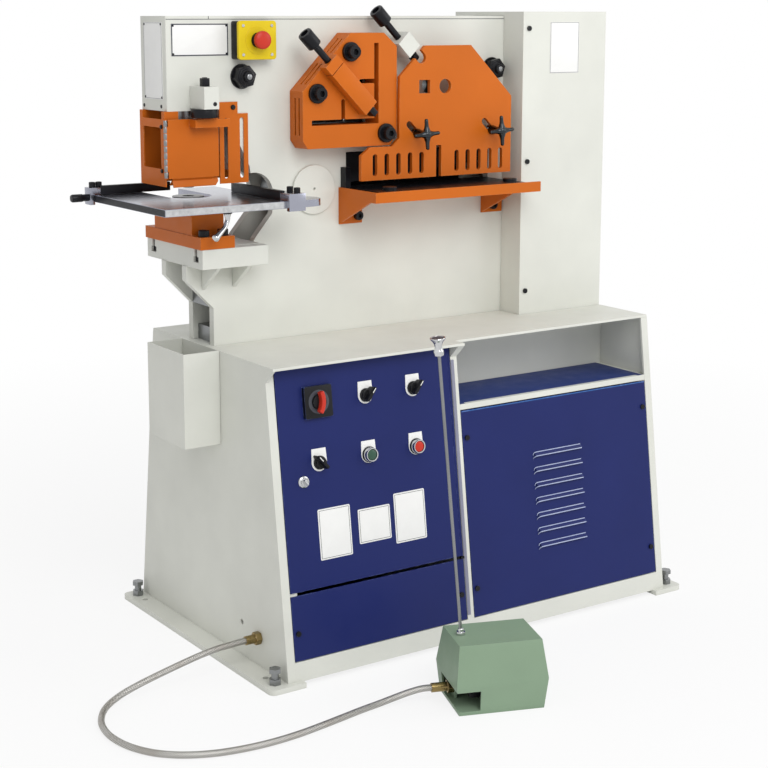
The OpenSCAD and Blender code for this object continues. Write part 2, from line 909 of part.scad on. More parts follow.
module frame_studs() {
    color(dark) for (p = tie_places) {
        rod_y(p, tie_r, frame_front - tie_washer_t - tie_nut_h - tie_end,
            frame_back + tie_washer_t + tie_nut_h + tie_end);
        for (y = [frame_front - tie_washer_t, frame_back]) rod_y(p, tie_washer_r, y, y + tie_washer_t);
        for (y = [frame_front - tie_washer_t - tie_nut_h, frame_back + tie_washer_t])
            along_y(y, y + tie_nut_h) translate(p) circle(tie_nut_r, $fn = 6);
    }
    color(chrome) for (p = stud_places) {
        rod_y(p, stud_r, stud_end_y, gap_front);
        rod_y(p, stud_sleeve_r, guard_face_y + guard_plate_t + fit_gap, frame_front);
    }
}
module pivot_pin() {
    color(white) difference() {
        union() {
            rod_y(pivot, pivot_d / 2, frame_front, frame_back);
            for (y = [frame_front - pivot_cap_t, frame_back]) rod_y(pivot, pivot_cap_r, y,
                y + pivot_cap_t);
        }
        rod_y(pivot + [0, pivot_mark_z], pivot_mark_r, frame_front - pivot_cap_t - overrun, frame_front);
    }
}

// Beam and drive
module rocker_beam() {
    color(steel) difference() {
        union() {
            along_y(beam_front, beam_back) polygon([[beam_left_x, beam_left_z[0]],
                [beam_left_x, beam_left_z[1]], beam_crown, beam_crown_end, beam_shoulder,
                [beam_shoulder[0], beam_notch_z], [beam_right_x, beam_right_z[1]],
                [beam_right_x, beam_right_z[0]], [blade_x[1] + beam_lap, blade_edge_z[1] + beam_lap],
                [blade_x[0] - beam_lap, blade_edge_z[0] + beam_lap], pivot + [beam_root, -beam_root],
                pivot - [beam_root, beam_root], beam_arm_low]);
            rod_y(pivot, pivot_hub_r, beam_front, beam_back);
        }
        rod_y(pivot, pivot_d / 2 + pin_gap, beam_front - overrun, beam_back + overrun);
        along_y(beam_front - overrun, beam_back + overrun) {
            angle_slot2d(0);
            bar_holes2d(0);
            slot2d([punch_x - ram_slot, ram_pin_z], [punch_x + ram_slot, ram_pin_z], ram_pin_r + slot_gap);
            slot2d([cylinder_x - rod_slot, rod_pin_z], [cylinder_x + rod_slot, rod_pin_z],
                ram_pin_r + slot_gap);
        }
    }
}
module upper_blade() {
    color(dark) along_y(gap_front + blade_step, beam_front) polygon([[blade_x[0], blade_edge_z[0]],
        [blade_x[1], blade_edge_z[1]],
        [blade_x[1], blade_top_z], [blade_x[0], blade_top_z]]);
}
// Fork that straddles the beam, with its cross pin
module beam_fork(x, w, low, top, pin_z) {
    side = beam_t / 2 + fit_gap;
    block([x - w / 2, mid_y - side - fork_cheek_t, low], [x + w / 2, mid_y + side + fork_cheek_t,
        low + fork_base]);
    for (y = [mid_y - side - fork_cheek_t, mid_y + side])
        block([x - w / 2, y, low], [x + w / 2, y + fork_cheek_t, top]);
    rod_y([x, pin_z], ram_pin_r, mid_y - side - fork_cheek_t, mid_y + side + fork_cheek_t);
}
module ram() {
    color(steel) {
        rod_z(punch_x, mid_y, ram_d / 2, ram_low, ram_fork_low);
        beam_fork(punch_x, ram_fork_w, ram_fork_low, ram_fork_top, ram_pin_z);
    }
}
module punch() {
    color(steel) {
        rod_z(punch_x, mid_y, coupling_nut_r, ram_low - coupling_nut_h, ram_low);
        rod_z(punch_x, mid_y, punch_d / 2, die_top + punch_rise, ram_low - coupling_nut_h);
    }
}
module cylinder_rod() {
    color(chrome) {
        rod_z(cylinder_x, mid_y, rod_d / 2, piston_z[0], rod_fork_low);
        rod_z(cylinder_x, mid_y, cylinder_d / 2 - cylinder_wall - pin_gap, piston_z[0], piston_z[1]);
        beam_fork(cylinder_x, rod_fork_w, rod_fork_low, rod_fork_top, rod_pin_z);
    }
}
module hydraulic_cylinder() {
    color(dark) difference() {
        rod_z(cylinder_x, mid_y, cylinder_d / 2, cylinder_low, cylinder_top);
        rod_z(cylinder_x, mid_y, cylinder_d / 2 - cylinder_wall, cylinder_low + cylinder_cap_t,
            cylinder_top - cylinder_cap_t);
        rod_z(cylinder_x, mid_y, rod_d / 2 + pin_gap, cylinder_top - cylinder_cap_t - overrun,
            cylinder_top + overrun);
    }
}

module oil_tank() {
    floor_z = flange_t + pan_t;
    color(dark) difference() {
        block([tank_x[0], tank_y[0], floor_z], [tank_x[1], tank_y[1], tank_top]);
        block([tank_x[0] + tank_wall, tank_y[0] + tank_wall, floor_z + tank_wall],
            [tank_x[1] - tank_wall, tank_y[1] - tank_wall, tank_top - tank_wall]);
        rod_z(tank_x[0] + 2 * tank_port_r, motor_y, tank_port_r, tank_top - tank_wall - overrun,
            tank_top + overrun);
    }
}
module pump_set() {
    axis_z = tank_top + motor_foot_h + motor_r;
    color(steel) {
        rod_x(motor_y, axis_z, motor_r, motor_x[0], motor_x[1]);
        block([motor_x[0], motor_y - motor_foot_w / 2, tank_top], [motor_x[1],
            motor_y + motor_foot_w / 2, axis_z]);
        rod_x(motor_y, axis_z, coupling_r, motor_x[0] - coupling_l, motor_x[0]);
        rod_x(motor_y, axis_z, pump_r, motor_x[0] - coupling_l - pump_l, motor_x[0] - coupling_l);
    }
}
module electrical_box() {
    wall_x = divider_x - base_sheet / 2;
    color(steel) difference() {
        block([electric_x, electric_y[0], electric_z[0]], [wall_x, electric_y[1], electric_z[1]]);
        block([electric_x - overrun, electric_y[0] + electric_wall, electric_z[0] + electric_wall],
            [wall_x - electric_wall, electric_y[1] - electric_wall, electric_z[1] - electric_wall]);
    }
}

// Punch station
holder_z = jaw_z + t_block_h;
table_low = die_top - table_t;
module t_slot2d(y) {
    translate([y - t_slot_neck / 2, holder_z - t_slot_depth]) square([t_slot_neck,
        t_slot_depth + overrun]);
    translate([y - t_slot_foot / 2, holder_z - t_slot_depth]) square([t_slot_foot, t_slot_foot_h]);
}
module t_slot_block() {
    color(white) difference() {
        union() {
            block([t_block_x[0], t_block_y[0], jaw_z], [t_block_x[1], t_block_y[1], holder_z]);
            for (x = rib_x) {
                along_x(x - rib_t / 2, x + rib_t / 2) polygon([[t_block_y[0], jaw_z],
                    [t_block_y[0] + overrun, jaw_z + overrun], [frame_front, jaw_z + overrun],
                    [frame_front, jaw_z - rib_h]]);
                along_x(x - rib_t / 2, x + rib_t / 2) polygon([[t_block_y[1], jaw_z],
                    [t_block_y[1] - overrun, jaw_z + overrun], [frame_back, jaw_z + overrun],
                    [frame_back, jaw_z - rib_h]]);
            }
        }
        for (y = t_slot_y) along_x(t_block_x[0] - overrun, t_block_x[1] + overrun) t_slot2d(y);
        rod_z(punch_x, mid_y, slug_r, jaw_z - overrun, holder_z + overrun);
    }
}
module die_holder() {
    color(orange) difference() {
        union() {
            block([holder_x[0], t_block_y[0], holder_z], [holder_x[1], t_block_y[1],
                holder_z + holder_flange_h]);
            block([holder_block_x[0], holder_block_y[0], holder_z], [holder_block_x[1],
                holder_block_y[1], table_low]);
        }
        rod_z(punch_x, mid_y, die_d / 2 + pin_gap, die_top - die_h, table_low + overrun);
        rod_z(punch_x, mid_y, slug_r, holder_z - overrun, die_top);
        for (x = holder_screw_x) rod_z(x, holder_screw_y, cap_shank_r + fit_gap, holder_z - overrun,
            holder_z + holder_flange_h + overrun);
    }
}
module die() {
    color(steel) difference() {
        rod_z(punch_x, mid_y, die_d / 2, die_top - die_h, die_top);
        rod_z(punch_x, mid_y, punch_d / 2 + fit_gap, die_top - die_h - overrun, die_top + overrun);
    }
}
module punch_table() {
    color(steel) translate([0, 0, table_low]) linear_extrude(table_t) difference() {
        union() {
            translate([table_x, table_y[0]]) square([table_w, table_y[1] - table_y[0]]);
            translate([table_x + table_w, table_y[0]]) square([table_ear_w - table_ear_d / 2,
                table_ear_d]);
            translate([table_x + table_w + table_ear_w - table_ear_d / 2,
                table_y[0] + table_ear_d / 2]) circle(table_ear_d / 2);
        }
        translate([punch_x, mid_y]) circle(table_cut_r);
        translate([punch_x - table_cut_r, mid_y]) square([2 * table_cut_r, table_y[1] - mid_y + overrun]);
        translate(lever_place) circle(lever_stem_r + fit_gap);
    }
}
module fence_screw(x, y, z) {
    rod_z(x, y, fence_screw_r, z, z + fence_screw_h);
}
module side_fence() {
    low = die_top + fit_gap;
    x0 = fence_side_x - fence_t / 2;
    color(steel) {
        block([x0, fence_side_y[0], low], [x0 + fence_t, fence_side_y[1], low + fence_h]);
        block([x0, fence_side_y[0], low], [x0 + fence_t + fence_clamp_w,
            fence_side_y[0] + fence_clamp_w, low + fence_clamp_h]);
        // Jaw that hooks over the front edge of the table
        block([x0, table_y[0] - fit_gap - fence_t, low - table_t - fence_t],
            [x0 + fence_t + fence_clamp_w, table_y[0] - fit_gap, low + fence_clamp_h]);
        block([x0, table_y[0] - fit_gap, low], [x0 + fence_t + fence_clamp_w, fence_side_y[0],
            low + fence_clamp_h]);
    }
    color(dark) for (i = [0, 1])
        fence_screw(x0 + fence_t + fence_clamp_w / 2, table_y[0] + i * fence_clamp_w,
            low + fence_clamp_h);
}
module back_fence() {
    low = die_top + fit_gap;
    y0 = fence_back_y - fence_t / 2;
    color(steel) {
        block([fence_back_x[0], y0, low], [fence_back_x[1], y0 + fence_t, low + fence_h]);
        block([table_x - fit_gap - fence_t, y0, low - table_t - fence_t], [table_x - fit_gap,
            y0 + fence_clamp_w, low + fence_clamp_h]);
        block([table_x - fit_gap, y0, low], [table_x + fence_clamp_w, y0 + fence_clamp_w,
            low + fence_clamp_h]);
    }
    color(dark) {
        for (i = [0, 1]) fence_screw(table_x + i * fence_clamp_w / 2, y0 + fence_clamp_w / 2,
            low + fence_clamp_h);
        rod_x(y0 + fence_clamp_w / 2, die_top - fence_t / 2, fence_rod_r,
            table_x - fit_gap - fence_t - fence_rod_l, table_x - fit_gap - fence_t);
    }
}
module clamp_lever() {
    top = table_low - fit_gap;
    color(chrome) translate([lever_place[0], lever_place[1], 0]) {
        translate([0, 0, top - lever_hub_l]) cylinder(r = lever_hub_r, h = lever_hub_l);
        translate([0, 0, top - overrun]) cylinder(r = lever_stem_r, h = lever_stem_l);
        translate([0, 0, top - lever_hub_l / 2]) rotate([0, lever_tilt, lever_turn]) {
            cylinder(r = lever_arm_r, h = lever_arm_l);
            translate([0, 0, lever_arm_l]) sphere(lever_ball_r);
        }
    }
}
module slug_bin() {
    low = bin_top - bin_h;
    key_z = bin_bolt_z - bin_lift;
    color(white) difference() {
        block([bin_x[0], bin_y, low], [bin_x[1], bin_y + bin_d, bin_top]);
        block([bin_x[0] + bin_wall, bin_y + bin_wall, low + bin_wall],
            [bin_x[1] - bin_wall, bin_y + bin_d - bin_wall, bin_top + overrun]);
        along_x(bin_x[1] - bin_wall - overrun, bin_x[1] + overrun) {
            slot2d([bin_mid_y, key_z], [bin_mid_y, bin_bolt_z], bin_bolt_r + bolt_hole_gap);
            translate([bin_mid_y, key_z]) circle(bolt_head_r + bolt_hole_gap);
        }
    }
}

// Punch guard
hinge_place = [guard_box_x[0], guard_box_y[0]];
knuckle_z = [guard_box_z[0] + hinge_knuckle, guard_box_z[1] - hinge_knuckle];
module punch_guard() {
    wall_front = guard_box_y[0] + hinge_r + fit_gap;
    x0 = guard_box_x[0];
    x1 = x0 + guard_sheet;
    rear = guard_box_y[1] - guard_sheet;
    color(orange) {
        difference() {
            block([x0, wall_front, bracket_z[0]], [x1, guard_box_y[1], guard_box_z[1]]);
            block([x0 - overrun, guard_window_y[0], guard_window_z[0]], [x1 + overrun,
                guard_window_y[1], guard_window_z[1]]);
        }
        block([x0, rear, bracket_z[0]], [guard_box_x[1], guard_box_y[1], guard_box_z[1]]);
        // Hangers under the head
        block([x0, wall_front, guard_box_z[1] - hanger_d], [x0 + hanger_w, wall_front + hanger_d,
            head_low]);
        block([x0, guard_box_y[1] - hanger_d, guard_box_z[1] - hanger_d], [guard_box_x[1],
            guard_box_y[1], head_low]);
        // Fixed knuckles and pin of the door hinge
        for (z = [guard_box_z[0], knuckle_z[1]]) {
            rod_z(hinge_place[0], hinge_place[1], hinge_r, z, z + hinge_knuckle);
            block([x0, guard_box_y[0], z], [x1, wall_front + guard_sheet, z + hinge_knuckle]);
        }
        rod_z(hinge_place[0], hinge_place[1], hinge_pin_r, guard_box_z[0], guard_box_z[1]);
        // Slotted plate that closes the throat beside the door
        along_y(frame_front - guard_sheet, frame_front) difference() {
            union() {
                translate([bracket_x[0], bracket_z[0]]) square([bracket_x[1] - bracket_x[0],
                    bracket_z[1] - bracket_z[0]]);
                translate([bracket_x[0], bracket_z[0]]) square([bracket_tab_w,
                    bracket_tab_z - bracket_z[0]]);
            }
            for (x = bracket_slot_x) slot2d([x, bracket_slot_z[0]], [x, bracket_slot_z[1]],
                bracket_slot_r);
        }
    }
}
module guard_door() {
    face = guard_box_y[0] - hinge_r;
    back = face + guard_sheet;
    low = guard_box_z[0];
    color(orange) {
        difference() {
            rod_z(hinge_place[0], hinge_place[1], hinge_r, knuckle_z[0] + fit_gap,
                knuckle_z[1] - fit_gap);
            rod_z(hinge_place[0], hinge_place[1], hinge_pin_r + pin_gap, low, guard_box_z[1]);
        }
        block([hinge_place[0], face, knuckle_z[0] + fit_gap], [hinge_place[0] + 2 * hinge_r,
            hinge_place[1] - hinge_pin_r - pin_gap, knuckle_z[1] - fit_gap]);
        block([hinge_place[0] + hinge_r + fit_gap, face, low], [guard_box_x[1], back, guard_box_z[1]]);
        // Bent lower lip
        along_x(guard_box_x[0] + guard_lip_inset, guard_box_x[1] - guard_lip_inset)
            polygon([[face, low], [back, low], [back + guard_lip, low - guard_lip], [face + guard_lip,
                low - guard_lip]]);
        // Pull tab on the top edge
        block([tab_x[0], tab_y, guard_box_z[1] - tab_h], [tab_x[1], tab_y + tab_t, guard_box_z[1]]);
        block([tab_x[0], tab_y, guard_box_z[1] - tab_h], [tab_x[0] + tab_t, back, guard_box_z[1]]);
    }
}

// Shear stations
angle_face = frame_front - angle_d;
// Socket head screw standing on a face at its local origin
module cap_screw(r, h, shank_r, shank_l) {
    difference() {
        cylinder(r = r, h = h);
        translate([0, 0, h - cap_socket_share * h]) cylinder(r = cap_socket_share * r, h = h, $fn = 6);
    }
    translate([0, 0, -shank_l]) cylinder(r = shank_r, h = shank_l);
}
module facing_front(place, y) {
    translate([place[0], y, place[1]]) rotate([90, 0, 0]) children();
}
module cap_screws() {
    color(dark) {
        for (p = angle_bolts) facing_front(p, angle_face) cap_screw(cap_r, cap_h, cap_shank_r,
            cap_shank_l);
        for (x = tray_bolt_x) facing_front([x, tray_bolt_z], frame_front - tray_sheet)
            cap_screw(tray_bolt_r, tray_bolt_r, cap_shank_r / 2, tray_sheet);
        for (x = holder_screw_x) translate([x, holder_screw_y, holder_z + holder_flange_h])
            cap_screw(holder_screw_r, holder_screw_h, cap_shank_r, holder_flange_h);
        translate([(boss_x[0] + boss_x[1]) / 2, frame_front - boss_reach / 2,
            boss_z[0] - collar_h]) cylinder(r = collar_r, h = collar_h);
        facing_front([bracket_x[0] + bracket_tab_w - screw_edge, bracket_tab_z - screw_edge],
            frame_front - guard_sheet)
            cylinder(r = screw_small_r, h = screw_small_h);
    }
}
module angle_housing() {
    color(orange) difference() {
        union() {
            along_y(angle_face, frame_front) translate([angle_x, angle_z])
                polygon(scaled(angle_outline_shares, [angle_w, angle_h]));
            on_hold(bar_start, angle_face) translate([lug_run[0], -bar_w / 2,
                0]) cube([lug_run[1] - lug_run[0], bar_w, bar_d]);
        }
        along_y(angle_face - overrun, frame_front + overrun) {
            angle_slot2d(0);
            slot2d(angle_tee, [angle_tee[0], angle_corner[1]], angle_tee_r);
            slot2d(angle_tee_side, [angle_corner[0], angle_tee_side[1]], angle_tee_r);
        }
        for (p = angle_bolts) facing_front(p, angle_face) translate([0, 0, -cap_shank_l - fit_gap])
            cylinder(r = cap_shank_r + fit_gap, h = cap_shank_l + overrun);
        on_hold(bar_start, angle_face - bar_d / 2) rotate([0, 90, 0]) translate([0, 0,
            lug_run[0] - overrun])
            cylinder(r = screw_r + fit_gap, h = lug_run[1] - lug_run[0] + 2 * overrun);
        // Sight slots in the left and upper left edges
        for (share = sight_depth_shares) translate([angle_x - overrun,
            angle_face + share * angle_d - sight_w / 2, angle_z + sight_low])
            cube([sight_depth + overrun, sight_w, sight_h]);
        for (share = sight_depth_shares, run = sight_runs) translate([angle_x,
            angle_face + share * angle_d - sight_w / 2, angle_z + angle_h / 2])
            rotate([0, -atan2(angle_h, angle_w), 0]) translate([run[0], 0, -sight_depth])
            cube([run[1] - run[0], sight_w, sight_depth + overrun]);
    }
}
module angle_hold_bar() {
    color(orange) on_hold(bar_start, angle_face - fit_gap) translate([0, -bar_w / 2, 0]) cube([bar_l,
        bar_w, bar_d]);
    color(dark) on_hold(bar_start, angle_face - fit_gap) translate([bar_l, -bar_tip_w / 2, 0])
        cube([bar_tip_l, bar_tip_w, bar_d]);
}
// Hold-down screw that ends at its local origin, knob uphill
module hold_screw(length) {
    rotate([0, -90, 0]) {
        cylinder(r = screw_r, h = length);
        translate([0, 0, length]) cylinder(r = screw_head_r, h = screw_head_l);
    }
}
module angle_hold_screw() {
    color(dark) on_hold(bar_start, angle_face - bar_d / 2) translate([-fit_gap, 0,
        0]) hold_screw(screw_l);
}
module flat_hold_pad() {
    color(dark) on_hold(hold_center, hold_screw_y) translate([hold_screw_down, 0, 0]) rotate([0, 90, 0])
        cylinder(r = hold_pad_r, h = hold_pad_l);
}
module flat_hold_screw() {
    color(dark) on_hold(hold_center, hold_screw_y) translate([hold_screw_down - fit_gap, 0, 0])
        hold_screw(hold_screw_down + hold_screw_up);
}
module flat_guard() {
    run = guard_slot_run / sqrt(2);
    color(orange) along_y(guard_face_y, guard_face_y + guard_plate_t) difference() {
        translate([guard_x, guard_z]) polygon(scaled(guard_outline_shares, [guard_w, guard_h]));
        bar_holes2d(0);
        for (p = stud_places) slot2d(p, p + [-run, run], guard_slot_r);
        for (x0 = guard_vent_first_x, i = [0 : guard_vent_count - 1])
            slot2d([x0 + i * guard_vent_pitch, guard_vent_z[0]], [x0 + i * guard_vent_pitch,
                guard_vent_z[1]], guard_vent_r);
        translate([guard_center_x - guard_center_w / 2, guard_z - overrun]) square([guard_center_w,
            guard_center_h + overrun]);
        slot2d(hold_center, hold_center + [hold_notch_run, -hold_notch_run], hold_notch_w / 2);
    }
}
module star_knob(place) {
    color(chrome) difference() {
        union() {
            rod_y(place, knob_hub_r, stud_end_y - knob_cap_t, guard_face_y - fit_gap);
            for (turn = [0, 90, 180, 270]) translate([place[0], stud_end_y, place[1]]) rotate([0, turn,
                0]) {
                cylinder(r = knob_arm_r, h = knob_arm_l);
                translate([0, 0, knob_arm_l]) sphere(knob_arm_r);
            }
        }
        rod_y(place, stud_r + pin_gap, stud_end_y - fit_gap, guard_face_y + overrun);
    }
}
module star_knob_left() { star_knob(stud_places[0]); }
module star_knob_right() { star_knob(stud_places[1]); }
tray_front = frame_front - tray_d;
module shear_tray() {
    x1 = tray_x + tray_w;
    low = bed_z - bed_t - tray_sheet;
    color(orange) difference() {
        union() {
            block([tray_x, tray_front, low], [x1, frame_front, bed_z - bed_t]);
            block([tray_x, tray_front, bed_z - tray_lip_h], [x1, tray_front + tray_sheet, bed_z]);
            for (x = [tray_x, x1 - tray_foot_w]) along_x(x, x + tray_sheet) polygon([[tray_front, bed_z],
                [frame_front, bed_z], [frame_front, tray_foot_z], [tray_front + tray_lip_h,
                    bed_z - tray_lip_h], [tray_front, bed_z - tray_lip_h]]);
            for (x = [tray_x, x1 - tray_foot_w]) block([x, frame_front - tray_sheet, tray_foot_z],
                [x + tray_foot_w, frame_front, low]);
        }
        for (x = tray_bolt_x) facing_front([x, tray_bolt_z], frame_front + overrun)
            cylinder(r = cap_shank_r / 2 + fit_gap, h = tray_sheet + 2 * overrun);
        // The right gusset stays under the bed
        block([x1 - tray_foot_w - overrun, tray_front + tray_sheet, bed_z - bed_t], [x1 - tray_sheet,
            frame_front + overrun, bed_z + overrun]);
    }
}
module shear_bed() {
    blade_back = gap_front + blade_step - blade_shear_gap;
    color(dark) {
        block([window_x[0], tray_front + tray_sheet, bed_z - bed_t], [window_x[1], frame_front, bed_z]);
        block([window_x[0], frame_front, window_z[0]], [window_x[1], blade_back, bed_z]);
        block([tray_x + tray_sheet, frame_front - side_block_d, bed_z - bed_t],
            [tray_x + tray_sheet + side_block_w, frame_front, bed_z + side_block_h]);
    }
    color(chrome) for (x = clamp_disc_x) rod_z(x, clamp_disc_y, clamp_disc_r, bed_z,
        bed_z + clamp_disc_h);
}

// Controls
module estop_box() {
    face = frame_front - estop_box_d;
    color("#e6cf2e") difference() {
        block([estop_x[0], face, estop_z[0]], [estop_x[1], frame_front, estop_z[1]]);
        rod_y(estop_place, estop_stem_r + fit_gap, face - overrun, face + estop_box_d / 2);
    }
}
module estop_button() {
    face = frame_front - estop_box_d;
    color("#d24a3a") {
        rod_y(estop_place, estop_d / 2, face - estop_stem_l - estop_head_h, face - estop_stem_l);
        rod_y(estop_place, estop_stem_r, face - estop_stem_l, face + estop_stem_l / 2);
    }
}
module control_door() {
    color(blue) difference() {
        union() {
            front_sheet(left_bay[0] + panel_gap, hinge_x, door_bottom, door_top,
                -door_proud, panel_t - door_proud);
            hinge_rod(door_hinge_r, door_bottom, door_top);
            on_front(switch_place, door_face - panel_t / 2) translate([-switch_plate / 2,
                -switch_plate / 2, 0])
                cube([switch_plate, switch_plate, switch_plate_t + panel_t / 2]);
        }
        hinge_rod(door_pin_r + pin_gap, door_bottom - overrun, door_top + overrun);
        on_front(switch_place, -panel_t - overrun) cylinder(r = stem_r + fit_gap,
            h = panel_t + switch_plate_t + 3 * overrun);
        for (p = concat(selector_places, button_places, [lock_place]))
            on_front(p, -panel_t - overrun) cylinder(r = stem_r + fit_gap, h = panel_t + 3 * overrun);
    }
}
// Hinge barrel or pin along the door's right edge, in the middle of its sheet
module hinge_rod(r, low, top) {
    translate([hinge_x, front_y(low) + hinge_depth, low]) rotate([-front_tilt, 0, 0])
        cylinder(r = r, h = (top - low) / cos(front_tilt));
}
module hinge_lug(low) {
    front_sheet(hinge_x - door_hinge_r, left_bay[1], low, low + hinge_lug_h, hinge_depth - door_hinge_r,
        hinge_depth + door_hinge_r);
}
module stem() {
    translate([0, 0, -stem_l]) cylinder(r = stem_r, h = stem_l);
}
module main_switch() {
    color("#d24a3a") on_front(switch_place, door_face + switch_plate_t + fit_gap) {
        stem();
        cylinder(r = switch_hub_r, h = switch_hub_h);
        translate([-switch_grip_w / 2, -switch_grip_l / 2, 0]) cube([switch_grip_w, switch_grip_l,
            switch_hub_h + switch_grip_h]);
    }
}
module selector(place, turn) {
    grip = selector_d * selector_grip_w_share;
    color(dark) on_front(place, door_face + fit_gap) rotate(turn) {
        stem();
        cylinder(r = selector_d / 2, h = selector_h);
        translate([-grip / 2, -selector_d / 2, 0]) cube([grip, selector_d + grip,
            selector_h + selector_grip_h]);
    }
}
module mode_selector() { selector(selector_places[0], -selector_turn); }
module work_selector() { selector(selector_places[1], -selector_turn); }
module power_selector() { selector(selector_places[2], selector_turn); }
module push_button(place) {
    on_front(place, door_face + button_travel) {
        stem();
        cylinder(r = button_d / 2, h = button_h);
    }
}
module start_button() { color("#1d4a36") push_button(button_places[0]); }
module stop_button() { color("#d24a3a") push_button(button_places[1]); }
module door_lock() {
    color(chrome) on_front(lock_place, door_face + fit_gap) {
        stem();
        cylinder(r = lock_r, h = lock_t);
        translate([-lock_key_w / 2, -lock_key_l / 2, 0]) cube([lock_key_w, lock_key_l,
            lock_t + lock_key_h]);
        translate([-lock_cam_w / 2, -lock_cam_w / 2, -stem_l]) cube([lock_cam_w, lock_cam_l, lock_cam_t]);
    }
}

// Foot switch
module foot_side(half, low, top, inset) {
    polygon([[-half, low], [-half - foot_bulge, foot_bulge_z], [inset - half, top],
        [half - inset, top], [half + foot_bulge, foot_bulge_z], [half, low]]);
}
// Body with a bulge all round, grown inwards by an inset
module foot_form(inset, low, top) {
    half_w = foot_w / 2 - inset;
    half_d = foot_d / 2 - inset;
    intersection() {
        along_y(-foot_d, foot_d) foot_side(half_w, low, top, foot_top_inset_w);
        along_x(-foot_w, foot_w) foot_side(half_d, low, top, foot_top_inset_d);
    }
}
pedal_pivot = [pedal_x[1] + 2 * pedal_pivot_r, pedal_z + pedal_t / 2];
module foot_housing() {
    out = foot_w / 2 + foot_bulge + overrun;
    color(green) on_foot() {
        difference() {
            foot_form(0, 0, foot_h);
            foot_form(foot_wall, foot_base_t, foot_h - foot_wall);
            block([-out, -out, foot_base_t], [-foot_w / 2 + foot_mouth_w,
                foot_d / 2 - foot_mouth_h / 2, foot_mouth_h]);
        }
        // Tab that carries the conduit gland, and the pedal's pin
        difference() {
            block([gland_tab_x, foot_gland_y - gland_hex_r, foot_base_t / 2], [gland_tab_x + foot_wall,
                foot_gland_y + gland_hex_r, foot_gland_z + gland_hex_r]);
            rod_x(foot_gland_y, foot_gland_z, gland_bore_r, gland_tab_x - overrun,
                gland_tab_x + foot_wall + overrun);
        }
        rod_y(pedal_pivot, pedal_pivot_r / 2, -foot_d / 2, foot_d / 2);
    }
}
module foot_pedal() {
    color(dark) on_foot() difference() {
        union() {
            block([pedal_x[0], -pedal_d / 2, pedal_z], [pedal_pivot[0], pedal_d / 2, pedal_z + pedal_t]);
            rod_y(pedal_pivot, pedal_t / 2, -pedal_d / 2, pedal_d / 2);
        }
        rod_y(pedal_pivot, pedal_pivot_r / 2 + pin_gap, -foot_d / 2, foot_d / 2);
    }
}
module foot_rod() {
    base = foot_point(foot_rod_base);
    color(chrome) translate([base[0], base[1], foot_h]) {
        cylinder(r = foot_nut_r, h = foot_nut_h);
        translate([0, 0, foot_nut_h / 2]) rotate([0, -foot_rod_lean, 0]) {
            cylinder(r = foot_rod_r, h = foot_rod_l);
            translate([0, 0, foot_rod_l]) cylinder(r1 = 2 * foot_rod_r, r2 = foot_knob_r, h = foot_knob_h);
        }
    }
}

// Conduit hose, swept along its route by smooth interpolation between the points
function hose_at(i) = hose_route[max(0, min(len(hose_route) - 1, i))];
function curve(a, b, c, d, t) = b + (c - a) * t / 2 + (2 * a - 5 * b + 4 * c - d) * t * t / 2
    + (3 * b - a - 3 * c + d) * t * t * t / 2;
hose_line = concat([for (i = [0 : len(hose_route) - 2], s = [0 : hose_rings_per_leg - 1])
    curve(hose_at(i - 1), hose_at(i), hose_at(i + 1), hose_at(i + 2), s / hose_rings_per_leg)],
        [hose_at(len(hose_route) - 1)]);
function unit(v) = v / norm(v);
function hose_dir(i) = i == 0 ? [-1, 0, 0] : i == len(hose_line) - 1 ? [cos(foot_turn), sin(foot_turn), 0]
    : unit(hose_line[i + 1] - hose_line[i - 1]);
function hose_ring(i) = let (dir = hose_dir(i), side = unit(cross(dir, [0, 0, 1])), up = cross(side, dir))
    [for (k = [0 : hose_sides - 1]) let (turn = 360 * k / hose_sides)
        hose_line[i] + hose_d / 2 * (side * cos(turn) + up * sin(turn))];
module conduit_hose() {
    last = len(hose_line) - 1;
    points = [for (i = [0 : last]) each hose_ring(i)];
    function at(i, k) = i * hose_sides + k % hose_sides;
    walls = [for (i = [0 : last - 1], k = [0 : hose_sides - 1]) each
        [[at(i, k), at(i, k + 1), at(i + 1, k + 1)], [at(i, k), at(i + 1, k + 1), at(i + 1, k)]]];
    ends = concat([for (k = [1 : hose_sides - 2]) [at(0, 0), at(0, k + 1), at(0, k)]],
        [for (k = [1 : hose_sides - 2]) [at(last, 0), at(last, k), at(last, k + 1)]]);
    color(steel) polyhedron(points, concat(walls, ends));
}
module hose_glands() {
    color(brass) {
        hex_end = -side_x - gland_hex_l;
        along_x(hex_end, -side_x) translate([gland_y, gland_z]) circle(gland_hex_r, $fn = 6);
        rod_x(gland_y, gland_z, gland_nose_r, hose_x, hex_end);
        rod_x(gland_y, gland_z, gland_bore_r - fit_gap, -side_x, -side_x + gland_l);
        on_foot() {
            along_x(gland_tab_x - gland_hex_l, gland_tab_x) translate([foot_gland_y,
                foot_gland_z]) circle(gland_hex_r - 2 * fit_gap, $fn = 6);
            rod_x(foot_gland_y, foot_gland_z, gland_nose_r, foot_hose_x, gland_tab_x - gland_hex_l);
            rod_x(foot_gland_y, foot_gland_z, gland_bore_r - fit_gap, gland_tab_x,
                gland_tab_x + gland_tail_l);
        }
    }
}

